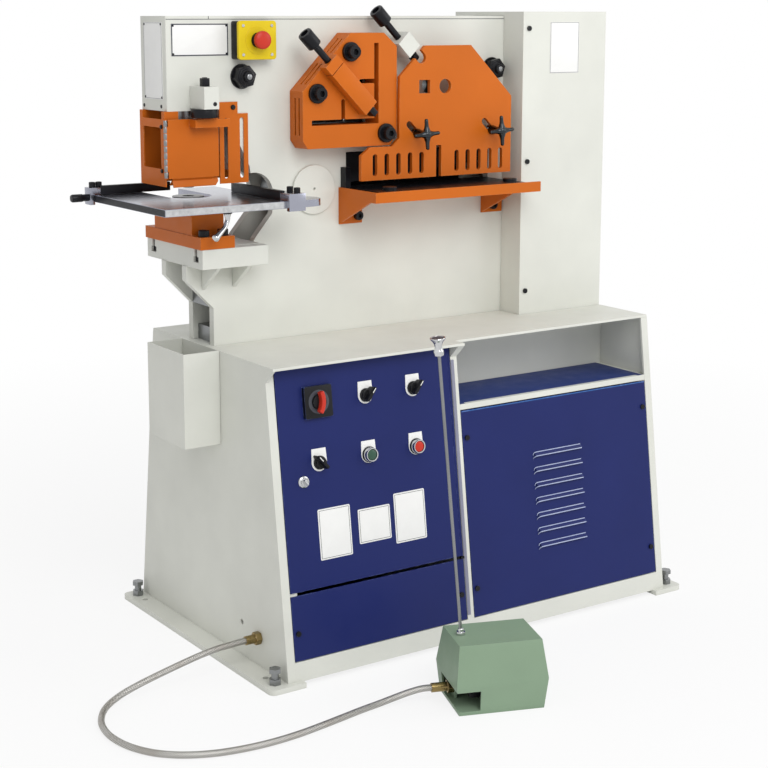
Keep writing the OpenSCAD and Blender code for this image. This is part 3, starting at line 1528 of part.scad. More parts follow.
base_frame();
side_plates();
top_plate();
back_panel();
storage_shelf();
louvred_panel();
lower_panel();
cover_screws();
levelling_bolts();
front_plate();
rear_plate();
frame_spacers();
frame_covers();
frame_studs();
pivot_pin();
hydraulic_cylinder();
oil_tank();
pump_set();
electrical_box();
t_slot_block();
die_holder();
die();
punch_table();
punch_guard();
cap_screws();
angle_housing();
shear_tray();
shear_bed();
estop_box();
foot_housing();
foot_rod();
conduit_hose();
hose_glands();
rocker_beam();
upper_blade();
ram();
punch();
cylinder_rod();
guard_door();
angle_hold_bar();
angle_hold_screw();
flat_hold_pad();
flat_hold_screw();
flat_guard();
star_knob_left();
star_knob_right();
side_fence();
back_fence();
clamp_lever();
estop_button();
control_door();
main_switch();
mode_selector();
work_selector();
power_selector();
start_button();
stop_button();
door_lock();
foot_pedal();
slug_bin();
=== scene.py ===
"""Looks of a small hydraulic ironworker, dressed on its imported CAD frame. Lengths in mm, turned into m."""
import json
import math

import bmesh
import bpy
from mathutils import Matrix, Vector


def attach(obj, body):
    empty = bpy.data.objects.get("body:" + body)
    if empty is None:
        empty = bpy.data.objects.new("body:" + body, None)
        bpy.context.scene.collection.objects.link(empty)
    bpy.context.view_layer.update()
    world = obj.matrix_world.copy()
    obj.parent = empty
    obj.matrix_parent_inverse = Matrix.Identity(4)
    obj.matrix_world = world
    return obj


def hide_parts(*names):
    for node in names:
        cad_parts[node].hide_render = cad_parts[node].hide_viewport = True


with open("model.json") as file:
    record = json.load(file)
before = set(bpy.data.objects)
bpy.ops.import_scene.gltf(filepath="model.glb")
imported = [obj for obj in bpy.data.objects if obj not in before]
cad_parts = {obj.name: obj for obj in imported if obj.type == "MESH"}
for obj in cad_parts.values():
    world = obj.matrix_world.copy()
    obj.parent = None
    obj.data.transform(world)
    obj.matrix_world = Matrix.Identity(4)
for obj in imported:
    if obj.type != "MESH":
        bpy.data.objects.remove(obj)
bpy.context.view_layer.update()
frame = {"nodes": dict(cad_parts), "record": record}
scene = bpy.context.scene
scene.view_settings.view_transform = "Standard"

MM = 0.001
AS_DRAWN = Matrix.Identity(4)

# --- Camera at the photograph's viewing angle ---
CAMERA_AT = (-2.2636, -3.2174, 1.4299)
CAMERA_YAW = 0.5904
CAMERA_PITCH = 0.1763
CAMERA_LENS, CAMERA_SENSOR = 77.0, 36.0
CAMERA_SHIFT = (0.02, -0.10)


def set_camera():
    data = bpy.data.cameras.new("camera")
    data.lens = CAMERA_LENS
    data.sensor_width = CAMERA_SENSOR
    data.shift_x, data.shift_y = CAMERA_SHIFT
    camera = bpy.data.objects.new("camera", data)
    level = math.cos(CAMERA_PITCH)
    forward = Vector((math.sin(CAMERA_YAW) * level, math.cos(CAMERA_YAW) * level, -math.sin(CAMERA_PITCH)))
    camera.location = CAMERA_AT
    camera.rotation_euler = forward.to_track_quat("-Z", "Y").to_euler()
    scene.collection.objects.link(camera)
    scene.camera = camera


set_camera()


# --- Node helpers and materials ---
NOISE_RANGE = (0.3, 0.7)
# Strength of the painted shade that darkens the paints in their corners.
PAINT_CORNER_SHADE = 0.30


def linear(code):
    """Linear RGBA of a #rrggbb colour."""
    parts = [int(code[i:i + 2], 16) / 255 for i in (1, 3, 5)]
    return [p / 12.92 if p <= 0.04045 else ((p + 0.055) / 1.055) ** 2.4 for p in parts] + [1.0]


def add(tree, kind, sockets=None, **props):
    made = tree.nodes.new(kind)
    for key, value in props.items():
        setattr(made, key, value)
    for key, value in (sockets or {}).items():
        if isinstance(value, bpy.types.NodeSocket):
            tree.links.new(value, made.inputs[key])
        else:
            made.inputs[key].default_value = value
    return made


def mix(tree, fac, low, high):
    return add(tree, "ShaderNodeMix", {0: fac, 6: low, 7: high}, data_type="RGBA").outputs[2]


def math_node(tree, operation, a, b=0.0, clamp=False):
    return add(tree, "ShaderNodeMath", {0: a, 1: b}, operation=operation, use_clamp=clamp).outputs[0]


def spread(tree, value, low, high, to_low=0.0, to_high=1.0):
    return add(tree, "ShaderNodeMapRange", {0: value, 1: low, 2: high, 3: to_low, 4: to_high}).outputs[0]


def shade(code, factor):
    return [c * factor for c in linear(code)[:3]] + [1.0]


def new_material(name):
    material = bpy.data.materials.new(name)
    material.use_nodes = True
    tree = material.node_tree
    return material, tree, tree.nodes["Principled BSDF"]


def noise(tree, scale, detail, stretch=(1, 1, 1)):
    where = add(tree, "ShaderNodeTexCoord").outputs["Object"]
    turned = add(tree, "ShaderNodeMapping", {"Vector": where, "Scale": stretch}).outputs[0]
    return add(tree, "ShaderNodeTexNoise", {"Vector": turned, "Scale": scale, "Detail": detail}).outputs[0]


def add_bump(tree, shader, strength, distance, height):
    made = add(tree, "ShaderNodeBump", {"Strength": strength, "Distance": distance, "Height": height})
    tree.links.new(made.outputs[0], shader.inputs["Normal"])


def add_roughness(tree, shader, value, low, high):
    tree.links.new(spread(tree, value, *NOISE_RANGE, low, high), shader.inputs["Roughness"])


def edge_mask(tree, radius):
    """1 on sharp edges, fading to 0 at the given distance, broken up by noise."""
    rounded = add(tree, "ShaderNodeBevel", {"Radius": radius}, samples=4).outputs[0]
    flat = add(tree, "ShaderNodeNewGeometry").outputs["Normal"]
    same = add(tree, "ShaderNodeVectorMath", {0: rounded, 1: flat}, operation="DOT_PRODUCT").outputs["Value"]
    bent = spread(tree, same, 0.985, 0.82)
    return math_node(tree, "MULTIPLY", bent, spread(tree, noise(tree, 90.0, 4.0), 0.42, 0.66), True)


def paint(name, code, roughness=0.38, wear_and_highlight="#d8d8d2", wear_and_highlight_amount=0.35, peel=0.10, gloss=0.18):
    """Sprayed machine enamel: slight clouding, orange peel, painted shade in the corners, and pale edges
    that are partly rubbed paint and partly painted highlight.
    """
    material, tree, shader = new_material(name)
    cloud = noise(tree, 4.5, 4.0)
    colour = mix(tree, spread(tree, cloud, *NOISE_RANGE), shade(code, 0.93), shade(code, 1.05))
    # Painted shade: ambient occlusion darkens the paint towards a darker tone of its own colour in corners
    # and recesses.
    corner = add(tree, "ShaderNodeAmbientOcclusion", {"Distance": 0.02}, samples=4).outputs["AO"]
    corner_shade = math_node(tree, "MULTIPLY", spread(tree, corner, 0.75, 0.2), PAINT_CORNER_SHADE)
    colour = mix(tree, corner_shade, colour, shade(code, 0.45))
    # Pale edges: partly rubbed paint, partly painted highlight where the edges would catch the light.
    pale_edges = math_node(tree, "MULTIPLY", edge_mask(tree, 0.0016), wear_and_highlight_amount)
    colour = mix(tree, pale_edges, colour, linear(wear_and_highlight))
    tree.links.new(colour, shader.inputs["Base Color"])
    add_roughness(tree, shader, noise(tree, 22.0, 5.0), roughness - 0.06, roughness + 0.08)
    add_bump(tree, shader, peel, 0.0006, noise(tree, 620.0, 2.0))
    shader.inputs["Specular IOR Level"].default_value = gloss
    return material


def metal(name, code, roughness=0.34, stretch=(1, 1, 1), grain=240.0, bump=0.06, stain=0.25, metallic=1.0,
          rub=0.5, gloss=0.5):
    """Machined or oxidised steel: drawn grain, faint stains and bright rubbed edges."""
    material, tree, shader = new_material(name)
    lines = noise(tree, grain, 6.0, stretch)
    patches = noise(tree, 9.0, 5.0)
    colour = mix(tree, spread(tree, lines, 0.25, 0.75), shade(code, 0.84), shade(code, 1.12))
    colour = mix(tree, math_node(tree, "MULTIPLY", spread(tree, patches, 0.5, 0.75), stain), colour,
                 shade(code, 0.5))
    colour = mix(tree, math_node(tree, "MULTIPLY", edge_mask(tree, 0.0012), rub), colour, linear("#b9b9b6"))
    tree.links.new(colour, shader.inputs["Base Color"])
    shader.inputs["Metallic"].default_value = metallic
    shader.inputs["Specular IOR Level"].default_value = gloss
    add_roughness(tree, shader, lines, roughness - 0.07, roughness + 0.1)
    add_bump(tree, shader, bump, 0.0004, lines)
    return material


def plastic(name, code, roughness=0.42, bump=0.08, coat=0.0, cloud=0.09, rub=0.18, gloss=0.5):
    """Moulded plastic with a fine eroded skin."""
    material, tree, shader = new_material(name)
    clouds = spread(tree, noise(tree, 35.0, 4.0), *NOISE_RANGE)
    colour = mix(tree, clouds, shade(code, 1 - cloud), shade(code, 1 + cloud))
    pale_edges = math_node(tree, "MULTIPLY", edge_mask(tree, 0.0008), rub)
    colour = mix(tree, pale_edges, colour, linear("#c9c9c5"))
    tree.links.new(colour, shader.inputs["Base Color"])
    add_roughness(tree, shader, noise(tree, 60.0, 3.0), roughness - 0.05, roughness + 0.08)
    add_bump(tree, shader, bump, 0.0003, noise(tree, 1500.0, 2.0))
    shader.inputs["Coat Weight"].default_value = coat
    shader.inputs["Specular IOR Level"].default_value = gloss
    return material


def braid(name):
    """Fine wire braid, drawn in the hose's own coordinates."""
    material, tree, shader = new_material(name)
    where = add(tree, "ShaderNodeUVMap", uv_map="along").outputs[0]
    parts = add(tree, "ShaderNodeSeparateXYZ", {0: where})
    around = math_node(tree, "MULTIPLY", parts.outputs[0], 10 * 2 * math.pi)
    along = math_node(tree, "MULTIPLY", parts.outputs[1], 2 * math.pi / 0.0052)
    left = math_node(tree, "SINE", math_node(tree, "ADD", around, along))
    right = math_node(tree, "SINE", math_node(tree, "SUBTRACT", around, along))
    wires = math_node(tree, "MAXIMUM", left, right)
    colour = mix(tree, spread(tree, wires, -0.4, 1.0), linear("#3d3c3a"), linear("#cfcdc8"))
    colour = mix(tree, spread(tree, noise(tree, 14.0, 3.0), 0.45, 0.7, 0.0, 0.3), colour, linear("#8b7f70"))
    tree.links.new(colour, shader.inputs["Base Color"])
    shader.inputs["Metallic"].default_value = 1.0
    shader.inputs["Roughness"].default_value = 0.36
    add_bump(tree, shader, 0.55, 0.0006, wires)
    return material


MATERIALS = {
    "ivory_paint": paint("ivory_paint", "#dcddd5", 0.42, "#f4f4f0", 0.30, gloss=0.3),
    # The pale edge colours of the orange and navy paints are partly wear and partly painted highlight.
    "orange_paint": paint("orange_paint", "#c86619", 0.38, "#eec08e", 0.60),
    "navy_paint": paint("navy_paint", "#1d2761", 0.40, "#7f93cc", 0.80, 0.16),
    # Near-white blue for the painted highlights along the louvre lips.
    "louvre_highlight_paint": paint("louvre_highlight_paint", "#a9b4d6", 0.32, "#f2f4fb", 0.90, gloss=0.5),
    "green_paint": paint("green_paint", "#8ba289", 0.46, "#b4c9b3", 0.45, 0.14),
    # Lighter blue for the painted highlight along the louvred panel's top edge.
    "panel_highlight_paint": paint("panel_highlight_paint", "#3564a4", 0.36, "#7f93cc", 0.50, 0.16),
    # Grey-lavender colour for the painted shade on the post beside the control door.
    "post_shade_grey": plastic("post_shade_grey", "#87889a", 0.55, 0.06, cloud=0.04, gloss=0.25),
    "black_steel": metal("black_steel", "#101116", 0.34, grain=160.0, stain=0.15, metallic=0.25, rub=0.22,
                         gloss=0.3),
    "bare_steel": metal("bare_steel", "#8d8f90", 0.32, (1, 14, 14)),
    "ground_steel": metal("ground_steel", "#a4a6b2", 0.18, (14, 1, 14), 180.0, 0.03, 0.45),
    "chrome": metal("chrome", "#c9cacb", 0.16, grain=90.0, bump=0.02, stain=0.10),
    "dark_chrome": metal("dark_chrome", "#3a3d3f", 0.12, grain=90.0, bump=0.02, stain=0.20, rub=0.9),
    "brass": metal("brass", "#8f7c52", 0.30, grain=200.0),
    "yellow_plastic": plastic("yellow_plastic", "#dcc113", 0.45, cloud=0.03, gloss=0.25),
    "red_plastic": plastic("red_plastic", "#c23120", 0.34, cloud=0.04, gloss=0.3),
    "dark_green_plastic": plastic("dark_green_plastic", "#1d4a36", 0.30, coat=0.2),
    "black_plastic": plastic("black_plastic", "#0e0f12", 0.40, gloss=0.25),
    "black_rubber": plastic("black_rubber", "#0c0c0d", 0.70, 0.14, gloss=0.15),
    "conduit": braid("conduit"),
    "white_plate": plastic("white_plate", "#eeeeec", 0.40, 0.02, cloud=0.012, rub=0.05),
    "grey_plate": plastic("grey_plate", "#3b3e46", 0.45, 0.02, cloud=0.02, rub=0.05),
    "shelf_mat": paint("shelf_mat", "#2c3d78", 0.55, "#6f86cc", 0.3, 0.25),
}


# --- Mesh helpers ---
SOFT_ANGLE = math.radians(28.0)
ROUND_STEPS = 4


def soften(bm, width):
    """Rounds the sharp edges."""
    sharp = [e for e in bm.edges if len(e.link_faces) == 2 and e.calc_face_angle(0) > SOFT_ANGLE]
    if sharp and width:
        bmesh.ops.bevel(bm, geom=sharp, offset=width, segments=2, profile=0.6, affect="EDGES",
                        clamp_overlap=True)
    return bm


def plate(outline, depth, edge=0.0, low=0.0):
    """Flat outline pushed up from low to low + depth."""
    bm = bmesh.new()
    face = bm.faces.new([bm.verts.new((x, y, low)) for x, y in outline])
    made = bmesh.ops.extrude_face_region(bm, geom=[face])
    bmesh.ops.translate(bm, verts=[v for v in made["geom"] if isinstance(v, bmesh.types.BMVert)],
                        vec=(0, 0, depth))
    bmesh.ops.recalc_face_normals(bm, faces=bm.faces)
    return soften(bm, edge)


def box(left, right, low, high):
    """Rectangle between two limits each way."""
    return [(left, low), (right, low), (right, high), (left, high)]


def regular(radius, corners):
    """Corners evenly around a circle."""
    turns = [2 * math.pi * i / corners for i in range(corners)]
    return [(radius * math.cos(a), radius * math.sin(a)) for a in turns]


def rectangle(width, height, radius=0.0):
    """Corner-rounded rectangle about the origin."""
    if not radius:
        return box(-width / 2, width / 2, -height / 2, height / 2)
    points = []
    for turn, (sx, sy) in enumerate(((1, -1), (1, 1), (-1, 1), (-1, -1))):
        for i in range(ROUND_STEPS + 1):
            a = math.radians(-90 + 90 * turn + 90 * i / ROUND_STEPS)
            points.append((sx * (width / 2 - radius) + radius * math.cos(a),
                           sy * (height / 2 - radius) + radius * math.sin(a)))
    return points


def lathe(profile, steps=40):
    """Round body about local Z from (radius, height) pairs."""
    bm = bmesh.new()
    rings = []
    for radius, height in profile:
        if radius < 1e-6:
            rings.append([bm.verts.new((0, 0, height))])
        else:
            rings.append([bm.verts.new((x, y, height)) for x, y in regular(radius, steps)])
    for low, high in zip(rings, rings[1:]):
        for i in range(steps):
            j = (i + 1) % steps
            corners = [low[i % len(low)], low[j % len(low)], high[j % len(high)], high[i % len(high)]]
            unique = list(dict.fromkeys(corners))
            if len(unique) > 2:
                bm.faces.new(unique)
    for ring in (rings[0], rings[-1]):
        if len(ring) > 2:
            bm.faces.new(ring)
    bmesh.ops.recalc_face_normals(bm, faces=bm.faces)
    return bm


def knurled(radius, height, teeth=20):
    """Socket screw head about local Z, with grooves around it and a hex socket."""
    socket = 0.52 * radius
    bm = lathe([(0, 0), (radius, 0), (radius, height - 1), (radius - 1, height), (socket, height),
                (socket, height / 2), (0, height / 2)], 2 * teeth)
    for v in bm.verts:
        turn = math.degrees(math.atan2(v.co.y, v.co.x))
        reach = math.hypot(v.co.x, v.co.y)
        if reach > 0.85 * radius and round(turn * teeth / 180) % 2:
            v.co.xy *= 0.95
        elif abs(reach - socket) < 0.01:
            inside = math.radians(turn % 60 - 30)
            v.co.xy *= math.cos(math.pi / 6) / math.cos(inside)
    return bm


def swept(points, radii, sides=24):
    """Round body of changing thickness along a line."""
    bm = bmesh.new()
    side = None
    rings = []
    for i, point in enumerate(points):
        heading = (points[min(i + 1, len(points) - 1)] - points[max(i - 1, 0)]).normalized()
        side = side or heading.orthogonal().normalized()
        side = (side - heading * side.dot(heading)).normalized()
        up = heading.cross(side)
        ring = [point + x * side + y * up for x, y in regular(radii[i], sides)]
        rings.append([bm.verts.new(corner) for corner in ring])
    for low, high in zip(rings, rings[1:]):
        for k in range(sides):
            j = (k + 1) % sides
            bm.faces.new((low[k], low[j], high[j], high[k]))
    bm.faces.new(rings[0])
    bm.faces.new(rings[-1])
    bmesh.ops.recalc_face_normals(bm, faces=bm.faces)
    return bm


def joined(*parts):
    """One mesh from several, each a mesh or a (mesh, matrix) pair."""
    whole = bmesh.new()
    for part in parts:
        bm, place = part if isinstance(part, tuple) else (part, AS_DRAWN)
        bm.transform(place)
        kept = bpy.data.meshes.new("part")
        bm.to_mesh(kept)
        bm.free()
        whole.from_mesh(kept)
        bpy.data.meshes.remove(kept)
    return whole


def piece(name, bm, place, body, material, sharp=32.0):
    """Object from a mesh in mm, riding on a body. Its slot holds the named material."""
    bm.transform(Matrix.Scale(MM, 4) @ place)
    for edge in bm.edges:
        edge.smooth = len(edge.link_faces) == 2 and edge.calc_face_angle(0) < math.radians(sharp)
    for face in bm.faces:
        face.smooth = True
    mesh = bpy.data.meshes.new(name)
    bm.to_mesh(mesh)
    bm.free()
    mesh.materials.append(MATERIALS[material])
    made = bpy.data.objects.new(name, mesh)
    scene.collection.objects.link(made)
    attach(made, body)
    return made


# --- Places on the machine ---
FRONT_FOOT_Y = -352.0
FRONT_LEAN, FRONT_HEIGHT = 90.0, 695.0
FRONT_TILT = math.atan(FRONT_LEAN / FRONT_HEIGHT)
DOOR_FACE = 0.8
FRAME_FRONT, FRAME_BACK = -10.0, 110.0
HEAD_SHEET_X, HEAD_SHEET_T = -638.8, 0.8
CORNERS = ((-1, -1), (1, -1), (-1, 1), (1, 1))


def on_front(x, z, out=DOOR_FACE, turn=0.0):
    """Local Z out of the sloping front, local Y up it."""
    sine, cosine = math.sin(FRONT_TILT), math.cos(FRONT_TILT)
    basis = Matrix(((1, 0, 0, x), (0, sine, -cosine, FRONT_FOOT_Y + z * math.tan(FRONT_TILT)),
                    (0, cosine, sine, z), (0, 0, 0, 1)))
    return basis @ Matrix.Translation((0, 0, out)) @ Matrix.Rotation(math.radians(turn), 4, "Z")


def facing_front(x, y, z, turn=0.0):
    """Local Z towards the front, local Y up."""
    return Matrix.Translation((x, y, z)) @ Matrix.Rotation(math.pi / 2, 4, "X") @ Matrix.Rotation(
        math.radians(turn), 4, "Z")


def facing_back(x, y, z):
    """Local Z towards the back, local Y down."""
    return Matrix.Translation((x, y, z)) @ Matrix.Rotation(-math.pi / 2, 4, "X")


def facing_left(x, y, z):
    """Local Z towards -X, local Y up."""
    return Matrix(((0, 0, -1, x), (-1, 0, 0, y), (0, 1, 0, z), (0, 0, 0, 1)))


def facing_right(x):
    """Local X along Y, local Y up, local Z along X from the given place."""
    return Matrix(((0, 0, 1, x), (1, 0, 0, 0), (0, 1, 0, 0), (0, 0, 0, 1)))


def at(x, y, z):
    return Matrix.Translation((x, y, z))


# --- Conduit hose ---
HOSE_D = 14.0
HOSE_SIDES = 20
HOSE_STEPS = 8
HOSE_ROUTE = (
    (-586, -228, 78), (-602, -228, 78), (-622, -228, 77), (-652, -227, 75), (-692, -225, 69),
    (-740, -222, 58), (-790, -220, 46), (-840, -220, 34), (-888, -227, 23), (-930, -248, 14),
    (-958, -286, 9), (-972, -332, 8), (-974, -382, 8), (-962, -436, 8), (-934, -486, 8),
    (-892, -524, 8), (-840, -550, 8), (-784, -564, 8), (-724, -570, 8), (-660, -568, 8),
    (-600, -560, 8), (-540, -550, 8), (-488, -541, 8), (-444, -537, 9), (-410, -540, 14),
    (-384, -548, 21), (-362, -557, 27), (-346, -564, 30), (-331, -570, 30))


def smooth_line(points, steps):
    """Catmull-Rom line through the points."""
    line = []
    last = len(points) - 1
    for i in range(last):
        a, b, c, d = (Vector(points[max(0, min(last, k))]) for k in (i - 1, i, i + 1, i + 2))
        for s in range(steps):
            t = s / steps
            line.append(b + (c - a) * t / 2 + (2 * a - 5 * b + 4 * c - d) * t * t / 2
                        + (3 * b - a - 3 * c + d) * t ** 3 / 2)
    return line + [Vector(points[last])]


def tube(line, radius, sides):
    """Round tube along a line, with coordinates around and along it."""
    bm = bmesh.new()
    layer = bm.loops.layers.uv.new("along")
    side = None
    rings, run = [], [0.0]
    for i, point in enumerate(line):
        heading = (line[min(i + 1, len(line) - 1)] - line[max(i - 1, 0)]).normalized()
        if side is None:
            side = heading.cross(Vector((0, 0, 1))).normalized()
        side = (side - heading * side.dot(heading)).normalized()
        up = heading.cross(side)
        rings.append([bm.verts.new(point + x * side + y * up) for x, y in regular(radius, sides)])
        if i:
            run.append(run[-1] + (point - line[i - 1]).length * MM)
    for i in range(len(rings) - 1):
        for k in range(sides):
            j = (k + 1) % sides
            face = bm.faces.new((rings[i][k], rings[i][j], rings[i + 1][j], rings[i + 1][k]))
            for loop, (u, v) in zip(face.loops, ((k, i), (k + 1, i), (k + 1, i + 1), (k, i + 1))):
                loop[layer].uv = (u / sides, run[v])
    bm.faces.new(rings[0])
    bm.faces.new(rings[-1])
    bmesh.ops.recalc_face_normals(bm, faces=bm.faces)
    return bm, run[-1]


def make_hose():
    line = smooth_line(HOSE_ROUTE, HOSE_STEPS)
    bm, length = tube(line, HOSE_D / 2, HOSE_SIDES)
    hose = piece("hose", bm, AS_DRAWN, "machine", "conduit", sharp=60.0)
    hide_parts("conduit_hose")


make_hose()


# --- Finish of the CAD nodes that stay ---
EDGE_WIDTH = {"ivory_paint": 1.6, "orange_paint": 1.2, "navy_paint": 1.0, "green_paint": 3.0}
NO_EDGE = {"cover_screws", "oil_tank", "pump_set", "hydraulic_cylinder", "cylinder_rod", "electrical_box"}
OTHER_FINISH = {"punch_table": "ground_steel"}
SMALL_EDGE = 0.6
WELD_GAP = 1e-5
FLAT_ANGLE, EDGE_ANGLE = math.radians(0.6), math.radians(40)


def dress_nodes():
    for part in frame["record"]["subparts"]:
        node = part["node"]
        kind = part["material_slot"]
        shown = frame["nodes"][node]
        shown.data.materials.clear()
        shown.data.materials.append(MATERIALS[OTHER_FINISH.get(node, kind)])
        if node in NO_EDGE:
            continue
        weld = shown.modifiers.new("weld", "WELD")
        weld.merge_threshold = WELD_GAP
        flat = shown.modifiers.new("flat", "DECIMATE")
        flat.decimate_type = "DISSOLVE"
        flat.angle_limit = FLAT_ANGLE
        edge = shown.modifiers.new("edge", "BEVEL")
        edge.width = EDGE_WIDTH.get(kind, SMALL_EDGE) * MM
        edge.segments = 2
        edge.limit_method = "ANGLE"
        edge.angle_limit = EDGE_ANGLE
        even = shown.modifiers.new("even", "WEIGHTED_NORMAL")
        even.mode = "FACE_AREA"
        even.weight = 100
        even.keep_sharp = False


dress_nodes()


# --- Control door ---
SELECTORS = {"mode_selector": (-301, 603, -40), "work_selector": (-173, 603, -40),
             "power_selector": (-432, 473, 40)}
BUTTONS = {"start_button": (-303, 472, "dark_green_plastic"), "stop_button": (-175, 472, "red_plastic")}
SWITCH_AT, SWITCH_TURN = (-428, 605), -6
LOCK_AT, LOCK_TURN = (-475, 437), 35
LEGEND_W, LEGEND_H, LEGEND_T = 39.0, 50.0, 1.2
LEGEND_UP = 6.0
SELECTOR_GRIP_Z, SELECTOR_LINE_Z, SELECTOR_LINE_UP = 1.6, 26.7, 13.5
SELECTOR_BODY = ((15.2, 1.6), (15.2, 5.0), (14.4, 6.2), (13.0, 6.6), (12.6, 12.0), (11.6, 13.0), (0, 13.0))
BUTTON_BASE = ((13.0, 1.2), (17.6, 1.2), (17.6, 4.2), (16.8, 5.0), (13.0, 5.0))
BUTTON_BEZEL = ((12.7, 4.8), (16.2, 4.8), (16.2, 7.0), (15.4, 8.0), (15.6, 15.2), (14.9, 16.4), (13.4, 16.6),
                (12.7, 15.8), (12.7, 4.8))
BUTTON_CAP = ((0, 9.4), (11.9, 9.4), (12.0, 13.4), (11.3, 14.8), (8.4, 15.6), (4.5, 16.0), (0, 16.1))


def make_legend(name, x, z):
    """Plate behind a device, square at the top and round at the bottom."""
    half = LEGEND_W / 2
    low = half - LEGEND_H / 2
    turns = [math.radians(a) for a in range(180, 361, 12)]
    arc = [(half * math.cos(a), low + half * math.sin(a)) for a in turns]
    outline = arc + [(half - 1.5, LEGEND_H / 2), (1.5 - half, LEGEND_H / 2)]
    piece(name + "_legend", plate(outline, LEGEND_T, 0.3), on_front(x, z + LEGEND_UP), "control_door",
          "white_plate")


def grip(width, top_width, back, front, height):
    """Bar that narrows upwards, blunt at the back and pointed at the front."""
    bm = bmesh.new()
    rings = []
    for half, z in ((width / 2, 0.0), (width / 2, height * 0.35), (top_width / 2, height)):
        tip = half * 0.35
        ends = ((-half, -back), (half, -back), (half, front - width), (tip, front), (-tip, front),
                (-half, front - width))
        rings.append([bm.verts.new((x, y, z)) for x, y in ends])
    for low, high in zip(rings, rings[1:]):
        for i in range(len(low)):
            j = (i + 1) % len(low)
            bm.faces.new((low[i], low[j], high[j], high[i]))
    bm.faces.new(rings[0])
    bm.faces.new(rings[-1])
    bmesh.ops.recalc_face_normals(bm, faces=bm.faces)
    return soften(bm, 0.9)


def dress_door():
    for name, (x, z, turn) in SELECTORS.items():
        make_legend(name, x, z)
        bar = grip(width=10.0, top_width=6.6, back=14.0, front=22.0, height=24.5)
        whole = joined(lathe(SELECTOR_BODY), (bar, at(0, 0, SELECTOR_GRIP_Z)))
        knob = piece(name + "_knob", whole, on_front(x, z, turn=turn), name, "black_plastic")
        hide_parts(name)
        mark = on_front(x, z, SELECTOR_LINE_Z, turn) @ at(0, SELECTOR_LINE_UP, 0)
        piece(name + "_line", plate(rectangle(1.8, 12.5, 0.6), 0.5, 0.1), mark, name, "white_plate")
    for name, (x, z, colour) in BUTTONS.items():
        here = on_front(x, z)
        make_legend(name, x, z)
        piece(name + "_base", lathe(BUTTON_BASE), here, "control_door", "black_plastic")
        piece(name + "_bezel", lathe(BUTTON_BEZEL), here, "control_door", "chrome")
        cap = piece(name + "_cap", lathe(BUTTON_CAP), here, name, colour)
        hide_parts(name)


def dress_switch():
    here = on_front(*SWITCH_AT)
    cover = plate(rectangle(70.6, 70.6, 4), 10.2, 1.2)
    piece("switch_cover", cover, here, "control_door", "black_plastic")
    ring = lathe([(0, 10.4), (26, 10.4), (26, 10.6), (25.5, 10.7), (0, 10.7)])
    piece("switch_ring", ring, here, "control_door", "grey_plate")
    hub = lathe([(0, 11.0), (17.6, 11.0), (17.6, 14.0), (16.4, 16.4), (12.0, 17.4), (0, 17.4)])
    piece("switch_hub", hub, here, "main_switch", "black_plastic")
    bend, half, reach = 46.0, 5.0, 0.52
    steps = [-reach + 2 * reach * i / 12 for i in range(13)]
    outer = [(bend - (bend + half) * math.cos(a), (bend + half) * math.sin(a)) for a in steps]
    inner = [(bend - (bend - half) * math.cos(a), (bend - half) * math.sin(a)) for a in reversed(steps)]
    handle = plate([(-px + 1.5, py) for px, py in outer + inner], 15.0, 2.4, 16.0)
    turned = on_front(*SWITCH_AT, turn=SWITCH_TURN)
    made = piece("switch_handle", handle, turned, "main_switch", "red_plastic")
    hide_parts("main_switch")


def dress_lock():
    body = lathe([(0, 0.2), (13.4, 0.2), (13.4, 1.6), (12.2, 3.4), (10.4, 4.2), (9.8, 3.6), (8.4, 3.6),
                  (8.0, 5.6), (7.2, 6.4), (0, 6.4)])
    wing = plate(rectangle(4.2, 15.0, 2.0), 11.0, 1.0, 3.0)
    made = piece("lock_body", joined(body, wing), on_front(*LOCK_AT, turn=LOCK_TURN), "door_lock", "chrome")
    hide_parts("door_lock")


# --- Emergency stop ---
ESTOP_AT = (-431, 1374.5)
ESTOP_W, ESTOP_H = 96.0, 85.0
ESTOP_BASE, ESTOP_DEPTH = 25.0, 35.0
ESTOP_GAP = 1.0
ESTOP_SCREW_IN = (12, 11)


